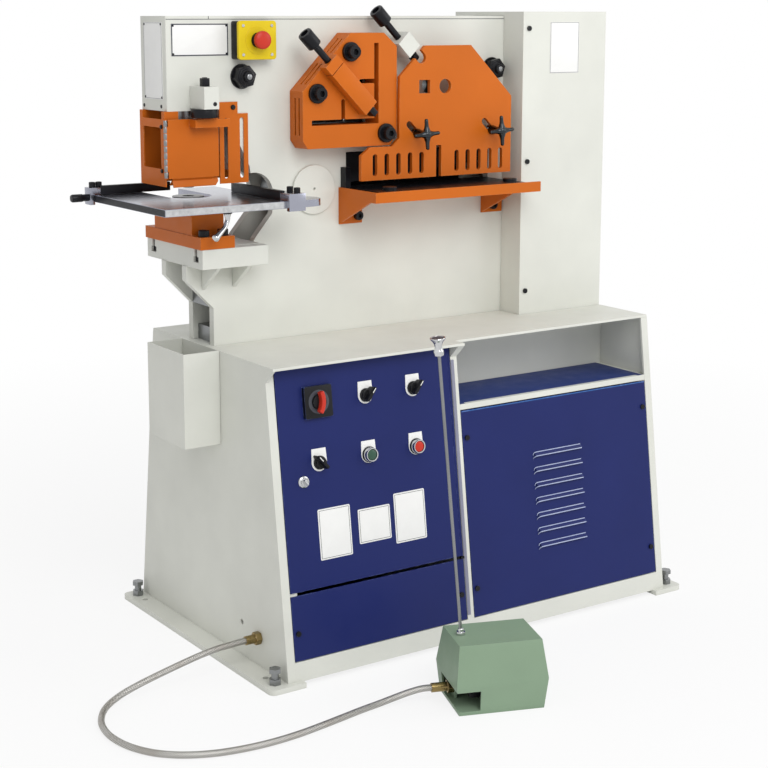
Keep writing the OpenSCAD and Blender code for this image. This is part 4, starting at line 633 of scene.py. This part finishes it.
def dress_estop():
    x, z = ESTOP_AT
    here = facing_front(x, FRAME_FRONT, z)
    face = here @ at(0, 0, ESTOP_DEPTH)
    piece("estop_base", plate(rectangle(ESTOP_W - 1.5, ESTOP_H - 1.5, 5), ESTOP_BASE, 1.6), here, "machine",
          "black_plastic")
    lid_low = ESTOP_BASE + ESTOP_GAP
    lid = plate(rectangle(ESTOP_W, ESTOP_H, 7), ESTOP_DEPTH - lid_low, 2.6, lid_low)
    cover = piece("estop_cover", lid, here, "machine", "yellow_plastic")
    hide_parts("estop_box")
    seal = plate(rectangle(ESTOP_W - 5, ESTOP_H - 5, 5), 2.0, 0.0, ESTOP_BASE - 0.5)
    piece("estop_seal", seal, here, "machine", "black_plastic")
    for i, (sx, sy) in enumerate(CORNERS):
        screw = lathe([(0, 0), (3.6, 0), (3.6, 0.9), (2.9, 1.6), (1.2, 1.7), (1.0, 0.9), (0, 0.9)], 20)
        corner = face @ at(sx * (ESTOP_W / 2 - ESTOP_SCREW_IN[0]), sy * (ESTOP_H / 2 - ESTOP_SCREW_IN[1]), 0)
        piece("estop_screw_%d" % i, screw, corner, "machine", "chrome")
    disc = lathe([(0, -0.1), (31.0, -0.1), (31.0, 0.9), (30.2, 1.4), (0, 1.4)], 48)
    piece("estop_disc", disc, face, "machine", "yellow_plastic")
    collar = lathe([(0, 0.8), (17.0, 0.8), (16.6, 8.0), (15.0, 10.5), (8.6, 10.5), (8.6, 16.4), (0, 16.4)])
    piece("estop_collar", collar, face, "machine", "black_plastic")
    head = lathe([(0, 22.0), (10.0, 22.0), (10.0, 15.8), (13.0, 16.0), (18.4, 16.8), (20.0, 18.6),
                  (20.0, 23.0), (19.0, 26.4), (15.5, 28.8), (9.0, 29.8), (0, 30.0)], 48)
    made = piece("estop_head", head, face @ at(0, 0.5, 0), "estop_button", "red_plastic")
    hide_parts("estop_button")


# --- Blank plates where the real machine has signs ---
DOOR_PLATES = ((-404.5, 316, 83, 112), (-300.5, 316.5, 85, 77), (-204, 318.5, 84, 113))
DATA_PLATE_AT, COLUMN_PLATE_AT = (-556, FRAME_FRONT, 1376), (414, -87, 1350)
HEAD_PLATE_AT = (HEAD_SHEET_X, 50, 1331)
SIGN_T, RIVET_IN = 1.0, 4.5


def blank_plate(name, width, height, place, body, line=0.9, inset=3.0, rivets=False):
    """Pale plate with a thin border, and rivets in its corners if asked for."""
    piece(name, plate(rectangle(width, height, 3), SIGN_T, 0.25), place, body, "white_plate")
    reach_x, reach_y = width / 2 - inset, height / 2 - inset
    tall = 2 * (reach_y - line)
    sides = ((2 * reach_x, line, 0, reach_y - line / 2), (2 * reach_x, line, 0, line / 2 - reach_y),
             (line, tall, reach_x - line / 2, 0), (line, tall, line / 2 - reach_x, 0))
    rim = joined(*[(plate(rectangle(w, h), 0.25, 0.0, SIGN_T), at(px, py, 0)) for w, h, px, py in sides])
    piece(name + "_rim", rim, place, body, "grey_plate")
    if rivets:
        heads = [(lathe([(0, 0), (2.6, 0), (2.4, 0.8), (1.5, 1.3), (0, 1.5)], 20),
                  at(sx * (width / 2 - RIVET_IN), sy * (height / 2 - RIVET_IN), SIGN_T))
                 for sx, sy in CORNERS]
        piece(name + "_rivets", joined(*heads), place, body, "black_steel")


def dress_plates():
    for i, (x, z, width, height) in enumerate(DOOR_PLATES):
        blank_plate("door_plate_%d" % i, width, height, on_front(x, z), "control_door")
    blank_plate("data_plate", 140, 70, facing_front(*DATA_PLATE_AT), "machine", line=2.6, inset=0.4,
                rivets=True)
    blank_plate("head_plate", 88, 166, facing_left(*HEAD_PLATE_AT), "machine", line=0.6, inset=1.5,
                rivets=True)
    blank_plate("column_plate", 92, 124, facing_front(*COLUMN_PLATE_AT), "machine", line=0.8, inset=1.2)


# --- Shelf ---
SHELF_X, SHELF_Y, SHELF_Z = (-42.5, 528.5), (-277.0, -96.5), 546.0


def dress_shelf():
    mat = plate(box(*SHELF_X, *SHELF_Y), 1.4, 0.3, SHELF_Z)
    piece("shelf_mat", mat, AS_DRAWN, "machine", "shelf_mat")


# --- Punch station, and the plate behind the throat ---
HINGE_AT = (-646, -15)
HINGE_Z = (1079, 1205)
HINGE_KNUCKLES = 9
WINDOW_SCREW_Z = (1094, 1190)
BOSS_TOP, BOSS_FACE = (-567, -50, 1277), (-557, -77, 1240)
LIP_AT, LIP_TILT = (-585, -17.5, 1058), math.radians(-22)
WING_OUT = FRAME_BACK + 3.2
WING_OUTLINE = ((-517, 1060), (-424, 1060), (-424, 1206), (-452, 1240), (-517, 1240))
WING_SCREWS = ((-505, 1231), (-465, 1231), (-431, 1130))


def dress_punch():
    run = (HINGE_Z[1] - HINGE_Z[0]) / HINGE_KNUCKLES
    for body, first in (("machine", 0), ("guard_door", 1)):
        rings = []
        for i in range(first, HINGE_KNUCKLES, 2):
            low = HINGE_Z[0] + i * run
            ring = lathe([(4.03, 0.5), (4.2, 0.9), (4.2, run - 0.9), (4.03, run - 0.5)], 24)
            rings.append((ring, at(0, 0, low)))
        piece("hinge_" + body, joined(*rings), at(*HINGE_AT, 0), body, "bare_steel")
    for i, z in enumerate(WINDOW_SCREW_Z):
        screw = lathe([(0, 0), (4.6, 0), (4.6, 2.4), (3.6, 3.4), (1.8, 3.5), (1.6, 2.2), (0, 2.2)], 24)
        piece("window_screw_%d" % i, screw, facing_left(HINGE_AT[0], 3, z), "machine", "black_steel")
    stub = plate(rectangle(17, 17, 2.2), 18, 1.4)
    cap = lathe([(0, 17.5), (6.0, 17.5), (6.0, 18.8), (5.2, 19.6), (0, 19.6)], 28)
    piece("boss_stub", joined(stub, cap), at(*BOSS_TOP), "machine", "black_steel")
    plug = lathe([(0, 0), (4.6, 0), (4.6, 0.6), (3.4, 0.9), (2.6, 0.4), (0, 0.4)], 24)
    piece("boss_plug", plug, facing_front(*BOSS_FACE), "machine", "black_steel")
    lip = plate([(-46, 0), (58, 0), (66, 9), (66, 22), (-46, 22)], 2.6, 0.6)
    tilted = facing_front(*LIP_AT) @ Matrix.Rotation(LIP_TILT, 4, "X")
    piece("door_lip", lip, tilted, "guard_door", "orange_paint")
    wing = plate(WING_OUTLINE, 3.0, 0.7)
    piece("rear_wing", wing, facing_front(0, WING_OUT, 0), "machine", "orange_paint")
    screw = ((0, 0), (5.4, 0), (5.2, 1.8), (3.2, 3.0), (0, 3.2))
    heads = [(lathe(screw, 24), facing_back(x, WING_OUT, z)) for x, z in WING_SCREWS]
    piece("rear_wing_screws", joined(*heads), AS_DRAWN, "machine", "black_steel")


# --- Star knobs ---
STAR_AT = {"star_knob_left": (-22, 1156), "star_knob_right": (199, 1156)}
STAR_Y = -116.0
STAR_REACH = 36.0
STAR_ARM = ((1.0, 1.8), (0.97, 3.4), (0.92, 4.3), (0.8, 4.5), (0.62, 4.7), (0.46, 5.6), (0.32, 7.4),
            (0.18, 9.4), (0, 10))
STAR_HUB = ((6.3, -40), (11, -40), (11.6, -36), (9.0, -24), (8.6, -10), (10.5, -3), (9.6, 6), (6.0, 10.4),
            (0, 10.8))


def star_arms():
    """Two crossed round bars that swell towards the hub, from (share of reach, radius) pairs."""
    line = [(-share, radius) for share, radius in STAR_ARM] + list(STAR_ARM[-2::-1])
    arms = []
    for turn in (math.radians(4), math.radians(94)):
        way = Vector((math.cos(turn), math.sin(turn), 0))
        points = [way * STAR_REACH * share for share, _ in line]
        arms.append(swept(points, [radius for _, radius in line], 20))
    return arms


def dress_stars():
    for name, (x, z) in STAR_AT.items():
        star = joined(lathe(STAR_HUB, 36), *star_arms())
        made = piece(name + "_cross", star, facing_front(x, STAR_Y, z), name, "dark_chrome", 50.0)
        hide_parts(name)


# --- Hold-down screws and bar ---
HOLD_SCREWS = {"angle_hold_screw": ("angle_screw", -252, -80, 1309, 0, 74),
               "flat_hold_screw": ("flat_screw", -40, -46, 1361, -34, 106)}
HOLD_BAR_AT, HOLD_BAR_TURN = (-252, -66.3, 1309), -45


def along_hold(x, y, z, run):
    """Local Z up a 45 degree hold-down screw, starting run mm up it."""
    slope = math.sqrt(0.5)
    place = Matrix(((-slope, 0, -slope, x), (0, -1, 0, y), (-slope, 0, slope, z), (0, 0, 0, 1)))
    return place @ at(0, 0, run)


def dress_holds():
    for node, (body, x, y, z, start, length) in HOLD_SCREWS.items():
        shaft = [(0, 0.3), (7.0, 0.3), (7.9, 1.4), (7.9, length - 6), (7.2, length - 5), (7.2, length)]
        head = [(13.5, length), (16.4, length + 1.6), (16.9, length + 3), (16.9, length + 37.5),
                (16.0, length + 39.4), (10.6, length + 40), (9.6, length + 39.2), (9.0, length + 30),
                (0, length + 30)]
        made = piece(node + "_form", lathe(shaft + head), along_hold(x, y, z, start), body, "black_steel",
                     sharp=40.0)
        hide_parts(node)
    place = facing_front(*HOLD_BAR_AT, HOLD_BAR_TURN)
    bar = piece("hold_bar", plate(box(0, 127, -21, 21), 28.0, 1.2), place, "angle_hold", "orange_paint")
    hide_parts("angle_hold_bar")
    piece("hold_bar_tip", plate(box(126, 147, -7, 7), 25.0, 0.9, 1.5), place, "angle_hold", "black_steel")


# --- Socket screws, collar, tie bolts and studs ---
ANGLE_BOLTS = ((-202, 1347), (-292, 1255), (-105, 1160))
TRAY_BOLTS = ((-150, 966), (250, 966))
HOLDER_SCREWS = ((-583, -64), (-536, -64))
TIE_BOLTS = ((-454, 1295), (247, 1300))
ANGLE_FACE, TRAY_FACE, HOLDER_TOP = -66.0, -16.0, 953.0
COLLAR_AT, TAB_SCREW_AT = (-565, -43.5, 1209), (-478, -13.0, 1228)


def dress_screws():
    parts = []
    for x, z in ANGLE_BOLTS:
        washer = lathe([(0, -0.2), (22.0, -0.2), (22.0, 6.6), (20.6, 8.0), (14.0, 8.0), (0, 8.0)], 44)
        place = facing_front(x, ANGLE_FACE, z)
        parts += [(washer, place), (knurled(15.0, 16.0, 26), place @ at(0, 0, 8.0))]
    for x, z in TRAY_BOLTS:
        parts.append((knurled(11.0, 11.0), facing_front(x, TRAY_FACE, z)))
    for x, y in HOLDER_SCREWS:
        parts.append((knurled(12.0, 14.0, 22), at(x, y, HOLDER_TOP)))
    collar = lathe([(0, 0), (27.5, 0), (29.4, 1.2), (30, 3), (30, 17.5), (29.2, 19.6), (0, 20)], 48)
    parts.append((collar, at(*COLLAR_AT)))
    tab = lathe([(0, 0), (5.6, 0), (5.6, 2.2), (4.4, 3.6), (2.4, 4.0), (2.0, 2.4), (0, 2.4)], 28)
    parts.append((tab, facing_front(*TAB_SCREW_AT)))
    made = piece("socket_screws", joined(*parts), AS_DRAWN, "machine", "black_steel")
    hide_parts("cap_screws")


def dress_studs():
    """Tie bolts with their nuts, and the threaded studs of the flat shear's guard."""
    nuts, ends = [], []
    for x, z in TIE_BOLTS:
        for place in (facing_front(x, FRAME_FRONT, z, 12), facing_back(x, FRAME_BACK, z)):
            washer = lathe([(0, 0), (27.6, 0), (27.6, 3.0), (26.8, 4.0), (0, 4.0)], 44)
            rings = lathe([(0, 23.8), (20.6, 23.8), (20.0, 26.0), (17.0, 26.8), (16.4, 28.8), (12.6, 29.6),
                           (12.0, 31.0), (12.0, 36.4), (10.6, 38.0), (0, 38.0)], 40)
            nuts += [(washer, place), (plate(regular(26.0, 6), 20.0, 1.6, 4.0), place), (rings, place)]
            ends.append((lathe([(0, 37.8), (6.4, 37.8), (6.2, 38.8), (4.8, 39.6), (0, 39.8)], 28), place))
        core = lathe([(0, -FRAME_BACK), (12, -FRAME_BACK), (12, -FRAME_FRONT), (0, -FRAME_FRONT)], 32)
        nuts.append((core, facing_front(x, 0, z)))
    made = piece("tie_nuts", joined(*nuts), AS_DRAWN, "machine", "black_steel")
    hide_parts("frame_studs")
    piece("tie_ends", joined(*ends), AS_DRAWN, "machine", "bare_steel")
    studs = []
    for x, z in STAR_AT.values():
        threads = [(5.4 + 0.6 * (i % 2), 20.0 + i) for i in range(106)]
        studs.append((lathe([(0, 0), (6, 0), (6, 20.0)] + threads + [(0, 126)], 28), facing_front(x, 10, z)))
        sleeve = lathe([(6.1, 0), (12, 0), (12, 50), (11, 54.6), (6.1, 54.6)], 32)
        studs.append((sleeve, facing_front(x, FRAME_FRONT, z)))
    piece("guard_studs", joined(*studs), AS_DRAWN, "machine", "chrome", sharp=50.0)


# --- Back panel, inside of the door and floor pan ---
BACK_SCREWS = ((-512, 70), (-171, 70), (171, 70), (512, 70), (-512, 368), (512, 368), (-512, 666),
               (-171, 666), (171, 666), (512, 666))
CONTACT_DEPTH, SWITCH_DEPTH, DOOR_BACK = 46.0, 58.0, 2.0
PAN_X, PAN_Y, PAN_Z = (-540, 536), (-325, 325), 14


def on_back(x, z):
    """Local Z out of the sloping back, local Y up it."""
    return Matrix.Rotation(math.pi, 4, "Z") @ on_front(-x, z, 0.0)


def dress_inside():
    screw = [(0, 0), (6.2, 0), (6.0, 1.8), (4.2, 3.2), (1.6, 3.6), (1.4, 2.2), (0, 2.2)]
    heads = [(lathe(screw, 24), on_back(x, z)) for x, z in BACK_SCREWS]
    piece("back_screws", joined(*heads), AS_DRAWN, "machine", "black_steel")
    blocks = []
    for x, z in [place[:2] for place in list(SELECTORS.values()) + list(BUTTONS.values())]:
        place = on_front(x, z, -DOOR_BACK - CONTACT_DEPTH)
        blocks += [(plate(rectangle(30, 42, 1.5), CONTACT_DEPTH, 0.8), place),
                   (lathe([(0, 0), (18, 0), (18, 6), (0, 6)], 32), place @ at(0, 0, CONTACT_DEPTH - 6.0))]
        blocks += [(lathe([(0, 0), (3.0, 0), (2.6, 1.6), (0, 1.6)], 16), place @ at(sx, sy, -1.6))
                   for sx in (-8, 8) for sy in (-14, 14)]
    behind = on_front(*SWITCH_AT, -DOOR_BACK - SWITCH_DEPTH)
    blocks.append((plate(rectangle(62, 62, 3), SWITCH_DEPTH, 1.2), behind))
    piece("contact_blocks", joined(*blocks), AS_DRAWN, "control_door", "black_plastic")
    piece("floor_pan", plate(box(*PAN_X, *PAN_Y), 2.0, 0.4), at(0, 0, PAN_Z), "machine", "ivory_paint")


# --- T-nuts, and the rubber behind the shears ---
T_SLOTS = (-52, 152)
T_NUT_X = -592
T_NUT = ((-11.6, 896.4), (11.6, 896.4), (11.6, 907.6), (5.7, 907.6), (5.7, 925.6), (-5.7, 925.6),
         (-5.7, 907.6), (-11.6, 907.6))
CURTAIN_X, CURTAIN_Z = (-184, 246), (1012, 1126)
CURTAIN_STRIPS, CURTAIN_OUT = 9, FRAME_BACK + 3.2
RAIL_Z, RAIL_OUT = (1114, 1130), FRAME_BACK + 6.2
ANGLE_FLAP = ((-318, 1170), (-106, 1170), (-106, 1374), (-154, 1374), (-154, 1212), (-318, 1212))


def dress_slots():
    # Black T-nuts fill the slots: partly real parts, partly painted shade for the dark inside of the slots.
    nuts = [(plate([(y + px, pz) for px, pz in T_NUT], 26.0, 0.5), facing_right(T_NUT_X)) for y in T_SLOTS]
    piece("t_nuts", joined(*nuts), AS_DRAWN, "machine", "black_steel")
    wide = (CURTAIN_X[1] - CURTAIN_X[0]) / CURTAIN_STRIPS
    lows = [CURTAIN_X[0] + i * wide for i in range(CURTAIN_STRIPS)]
    strips = [plate(box(low + 0.5, low + wide - 0.5, *CURTAIN_Z), 2.6, 0.4) for low in lows]
    strips.append(plate(ANGLE_FLAP, 2.6, 0.4))
    piece("curtain", joined(*strips), facing_front(0, CURTAIN_OUT, 0), "machine", "black_rubber")
    rail = (plate(box(*CURTAIN_X, *RAIL_Z), 3.0, 0.6), facing_front(0, RAIL_OUT, 0))
    screw = ((0, 0), (4.4, 0), (4.2, 1.6), (2.6, 2.6), (0, 2.8))
    heads = [(lathe(screw, 20), facing_back(low + wide / 2, RAIL_OUT, sum(RAIL_Z) / 2)) for low in lows]
    piece("curtain_rail", joined(rail, *heads), AS_DRAWN, "machine", "black_steel")


# --- Punch table fences and lever ---
FENCE_LOW, FENCE_TOP, FENCE_CLAMP_TOP = 1031.3, 1051.3, 1047.5
CLAMP_JAW_LOW = 1009.0
SIDE_FENCE_X, SIDE_CLAMP_X, SIDE_KNOBS = -436, -435.6, ((-409, -170), (-409, -140))
BACK_FENCE_Y, BACK_CLAMP_Y, BACK_KNOBS = 186, 203.8, ((-729.5, 189), (-713.5, 189))
BACK_ROD_AT = (-741.3, 189, 1025)
LEVER_AT = (-548, -108, 1014.7)
LEVER_LINE = ((0, 0, -9), (0, 0, -16), (-1, -0.4, -25), (-9, -3.3, -38), (-22, -8, -48), (-36, -13, -58),
              (-41, -15, -61.6))
LEVER_R, LEVER_WAIST, LEVER_END_SHARE = 8.6, 3.4, 0.84
TABLE_X, TABLE_Y, TABLE_Z = (-728, -414), (-169, 199), (1016, 1030)
TABLE_EDGE_X, TABLE_FRONT_Y = -729.2, -170


def fence_knobs(name, body, places):
    heads = [(knurled(7.3, 12.0, 16), at(x, y, FENCE_CLAMP_TOP)) for x, y in places]
    piece(name, joined(*heads), AS_DRAWN, body, "black_steel")


def dress_fences():
    bar = plate(box(-143, 76, FENCE_LOW, FENCE_TOP), 12.0, 0.8)
    made = piece("side_fence_bar", bar, facing_right(SIDE_FENCE_X), "side_fence", "black_steel")
    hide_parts("side_fence")
    hook = [(-182.3, CLAMP_JAW_LOW), (-170.3, CLAMP_JAW_LOW), (-170.3, FENCE_LOW), (-113, FENCE_LOW),
            (-113, FENCE_CLAMP_TOP), (-182.3, FENCE_CLAMP_TOP)]
    piece("side_fence_clamp", plate(hook, 41.6, 1.0), facing_right(SIDE_CLAMP_X), "side_fence",
          "ground_steel")
    fence_knobs("side_fence_knobs", "side_fence", SIDE_KNOBS)
    bar = plate(box(-716, -541, FENCE_LOW, FENCE_TOP), 12.0, 0.8)
    made = piece("back_fence_bar", bar, facing_front(0, BACK_FENCE_Y, 0), "back_fence", "black_steel")
    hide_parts("back_fence")
    hook = [(-741.3, CLAMP_JAW_LOW), (-729.3, CLAMP_JAW_LOW), (-729.3, FENCE_LOW), (-699, FENCE_LOW),
            (-699, FENCE_CLAMP_TOP), (-741.3, FENCE_CLAMP_TOP)]
    piece("back_fence_clamp", plate(hook, 29.6, 1.0), facing_front(0, BACK_CLAMP_Y, 0), "back_fence",
          "ground_steel")
    fence_knobs("back_fence_knobs", "back_fence", BACK_KNOBS)
    rod = lathe([(0, -0.5), (8.0, -0.5), (8.0, 12), (9, 14), (9, 36.5), (7.6, 39.4), (0, 40)], 32)
    piece("back_fence_rod", rod, facing_left(*BACK_ROD_AT), "back_fence", "black_steel")
    # Painted dark reflection: a thin black skin on the table's left face, which reads dark from what it
    # reflects.
    edge = plate(box(*TABLE_Y, *TABLE_Z), 0.2)
    piece("table_edge_dark_reflection", edge, facing_right(TABLE_EDGE_X), "machine", "black_steel")
    front = plate(box(*TABLE_X, *TABLE_Z), 0.2)
    piece("table_front", front, facing_front(0, TABLE_FRONT_Y, 0), "machine", "chrome")


def dress_lever():
    base = lathe([(0, -9.5), (9.6, -9.5), (10.8, -8.2), (10.8, -1.2), (9.6, 0), (0, 0)], 36)
    made = piece("lever_base", base, at(*LEVER_AT), "clamp_lever", "black_plastic")
    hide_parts("clamp_lever")
    line = smooth_line(LEVER_LINE, 5)
    radii = []
    for i in range(len(line)):
        share = i / (len(line) - 1)
        past = (share - LEVER_END_SHARE) / (1 - LEVER_END_SHARE)
        if past < 0:
            radii.append(LEVER_R - LEVER_WAIST * math.sin(math.pi * share / LEVER_END_SHARE) ** 0.8)
        else:
            radii.append(LEVER_R * math.sqrt(max(0.02, 1 - past ** 2)))
    piece("lever_arm", swept(line, radii), at(*LEVER_AT), "clamp_lever", "chrome", sharp=50.0)


# --- Foot switch rod ---
ROD_FOOT = (-278.5, -603.0, 148.0)
ROD_LEAN = math.radians(-5.9)
ROD_LENGTH, ROD_SEAT = 604.0, 4.0


def dress_rod():
    nut = plate(regular(10.4, 6), 7.0, 0.7)
    lock = lathe([(3.4, 6.8), (6.2, 6.8), (6.2, 12.6), (5.2, 13.8), (3.4, 13.8)], 28)
    made = piece("rod_nut", joined(nut, lock), at(*ROD_FOOT), "machine", "chrome")
    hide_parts("foot_rod")
    lean = at(*ROD_FOOT) @ at(0, 0, ROD_SEAT) @ Matrix.Rotation(ROD_LEAN, 4, "Y")
    shaft = lathe([(0, 0), (3.4, 0), (3.4, ROD_LENGTH + 6), (0, ROD_LENGTH + 6)], 20)
    piece("rod_shaft", shaft, lean, "machine", "bare_steel")
    knob = lathe([(3.0, 0), (8.4, 0), (9.9, 1.4), (10.2, 4), (10.2, 9), (9.4, 11.5), (7.9, 14.5), (7.5, 19),
                  (8.2, 24), (10.6, 29), (13.8, 33), (15.8, 35.6), (16.4, 37), (15.8, 38), (14.2, 38),
                  (13.6, 37.2), (0, 36.4)])
    piece("rod_knob", knob, lean @ at(0, 0, ROD_LENGTH), "machine", "chrome")
    cap = lathe([(0, 36.5), (13.0, 37.0), (12.6, 37.6), (0, 37.3)], 36)
    piece("rod_cap", cap, lean @ at(0, 0, ROD_LENGTH), "machine", "grey_plate")


# --- Painted louvre and panel-edge highlights, painted shade on the post, cover joint and head sheet ---
LOUVRE_X, LOUVRE_W = 236.0, 142.0
LOUVRE_FIRST, LOUVRE_PITCH, LOUVRES = 186.0, 36.0, 7
PANEL_HIGHLIGHT_AT, POST_SHADE_AT, ON_PANEL = (243, 531.0), (-57.5, 358), 0.05
HEAD_SCREW_Y, HEAD_SCREW_Z = (16, 99), 1233


def dress_louvres():
    # Painted highlights: two pale lines along each louvre lip, where the glossy paint would catch the light.
    edges = []
    for i in range(LOUVRES):
        place = on_front(LOUVRE_X, LOUVRE_FIRST + i * LOUVRE_PITCH, 0.0)
        half = LOUVRE_W / 2
        for low, out in ((5.6, 1.2), (-3.0, 6.6)):
            line = [Vector((-half - 5.0, low - 7.0, 0.6)), Vector((-half - 3.6, low - 3.0, 0.3 + out * 0.4)),
                    Vector((-half + 0.2, low - 0.6, out * 0.9)), Vector((-half + 5.0, low, out)),
                    Vector((half - 1, low, out))]
            edges.append((swept(line, [0.5, 0.8, 1.1, 1.25, 1.25], 10), place))
    piece("louvre_highlight_lines", joined(*edges), AS_DRAWN, "machine", "louvre_highlight_paint")
    # Painted highlight: a thin lighter blue strip along the louvred panel's top edge.
    strip = plate(rectangle(567, 2.4), 0.35, 0.1)
    piece("panel_highlight_strip", strip, on_front(*PANEL_HIGHLIGHT_AT, ON_PANEL), "machine", "panel_highlight_paint")
    # Painted shade: a grey strip on the post's front stands in for the shaded side of the recess beside the
    # door.
    seal = plate(rectangle(8.5, 594, 1.2), 0.9, 0.3)
    piece("post_shade_strip", seal, on_front(*POST_SHADE_AT, ON_PANEL), "machine", "post_shade_grey")


def dress_frame():
    front = plate(box(-637.5, 283.5, 1419.3, 1420.7), 0.25)
    cross = plate(box(-534.6, -533.2, 1420.6, 1426.4), 0.25)
    piece("cover_joint", joined(front, cross), facing_front(0, FRAME_FRONT, 0), "machine", "grey_plate")
    sheet = plate(box(-9.6, 109.6, 1223.4, 1426.6), HEAD_SHEET_T, 0.3)
    piece("head_sheet", sheet, facing_right(HEAD_SHEET_X), "machine", "ivory_paint")
    for i, y in enumerate(HEAD_SCREW_Y):
        screw = lathe([(0, 0), (4.0, 0), (4.0, 0.7), (3.3, 1.0), (2.9, 0.4), (0, 0.4)], 24)
        place = facing_left(HEAD_SHEET_X, y, HEAD_SCREW_Z)
        piece("head_screw_%d" % i, screw, place, "machine", "black_steel")


dress_door()
dress_switch()
dress_lock()
dress_estop()
dress_plates()
dress_shelf()
dress_punch()
dress_stars()
dress_holds()
dress_screws()
dress_studs()
dress_inside()
dress_slots()
dress_fences()
dress_lever()
dress_rod()
dress_louvres()
dress_frame()


# --- Floor, world and lamps ---
FLOOR_GLOW, FLOOR_GREY = 0.82, 0.92
FLOOR_HALF, FLOOR_DROP = 60.0, 0.0005
GLOW_NEAR, GLOW_FAR = 0.9, 3.2
WORLD_LIGHT = 0.62
LAMP_TARGET = (0.0, 0.0, 0.7)
LAMPS = (("key", (-0.9, -3.6, 3.4), 2.6, 80), ("fill", (3.0, -2.6, 2.2), 2.4, 30))


def seen_rays(tree):
    """1 for what the camera sees, directly, mirrored or through glass."""
    path = add(tree, "ShaderNodeLightPath")
    glossy = math_node(tree, "MAXIMUM", path.outputs["Is Camera Ray"], path.outputs["Is Glossy Ray"])
    return math_node(tree, "MAXIMUM", glossy, path.outputs["Is Transmission Ray"])


def make_floor():
    """White floor that keeps the shadow near the machine and fades into the backdrop."""
    bm = bmesh.new()
    bmesh.ops.create_grid(bm, x_segments=8, y_segments=8, size=FLOOR_HALF)
    mesh = bpy.data.meshes.new("floor")
    bm.to_mesh(mesh)
    bm.free()
    floor = bpy.data.objects.new("floor", mesh)
    floor.location = (0, 0, -FLOOR_DROP)
    scene.collection.objects.link(floor)
    material, tree, shader = new_material("floor")
    shader.inputs["Base Color"].default_value = (FLOOR_GREY, FLOOR_GREY, FLOOR_GREY, 1)
    shader.inputs["Roughness"].default_value = 0.9
    shader.inputs["Specular IOR Level"].default_value = 0.1
    glow = add(tree, "ShaderNodeEmission", {"Color": (1, 1, 1, 1), "Strength": 1.0}).outputs[0]
    where = add(tree, "ShaderNodeTexCoord").outputs["Object"]
    away = add(tree, "ShaderNodeVectorMath", {0: where}, operation="LENGTH").outputs["Value"]
    growing = spread(tree, away, GLOW_NEAR, GLOW_FAR, FLOOR_GLOW, 1.0)
    share = math_node(tree, "MULTIPLY", seen_rays(tree), growing)
    whole = add(tree, "ShaderNodeMixShader", {0: share, 1: shader.outputs[0], 2: glow}).outputs[0]
    tree.links.new(whole, tree.nodes["Material Output"].inputs["Surface"])
    mesh.materials.append(material)


def make_world():
    world = bpy.data.worlds.new("world")
    scene.world = world
    world.use_nodes = True
    tree = world.node_tree
    strength = spread(tree, seen_rays(tree), 0.0, 1.0, WORLD_LIGHT, 1.0)
    background = tree.nodes["Background"]
    background.inputs["Color"].default_value = (1, 1, 1, 1)
    tree.links.new(strength, background.inputs["Strength"])


def area_lamp(name, place, size, power):
    data = bpy.data.lights.new(name, "AREA")
    data.shape = "DISK"
    data.size = size
    data.energy = power
    lamp = bpy.data.objects.new(name, data)
    lamp.location = place
    lamp.rotation_euler = (Vector(LAMP_TARGET) - Vector(place)).to_track_quat("-Z", "Y").to_euler()
    scene.collection.objects.link(lamp)


make_floor()
make_world()
for lamp_values in LAMPS:
    area_lamp(*lamp_values)
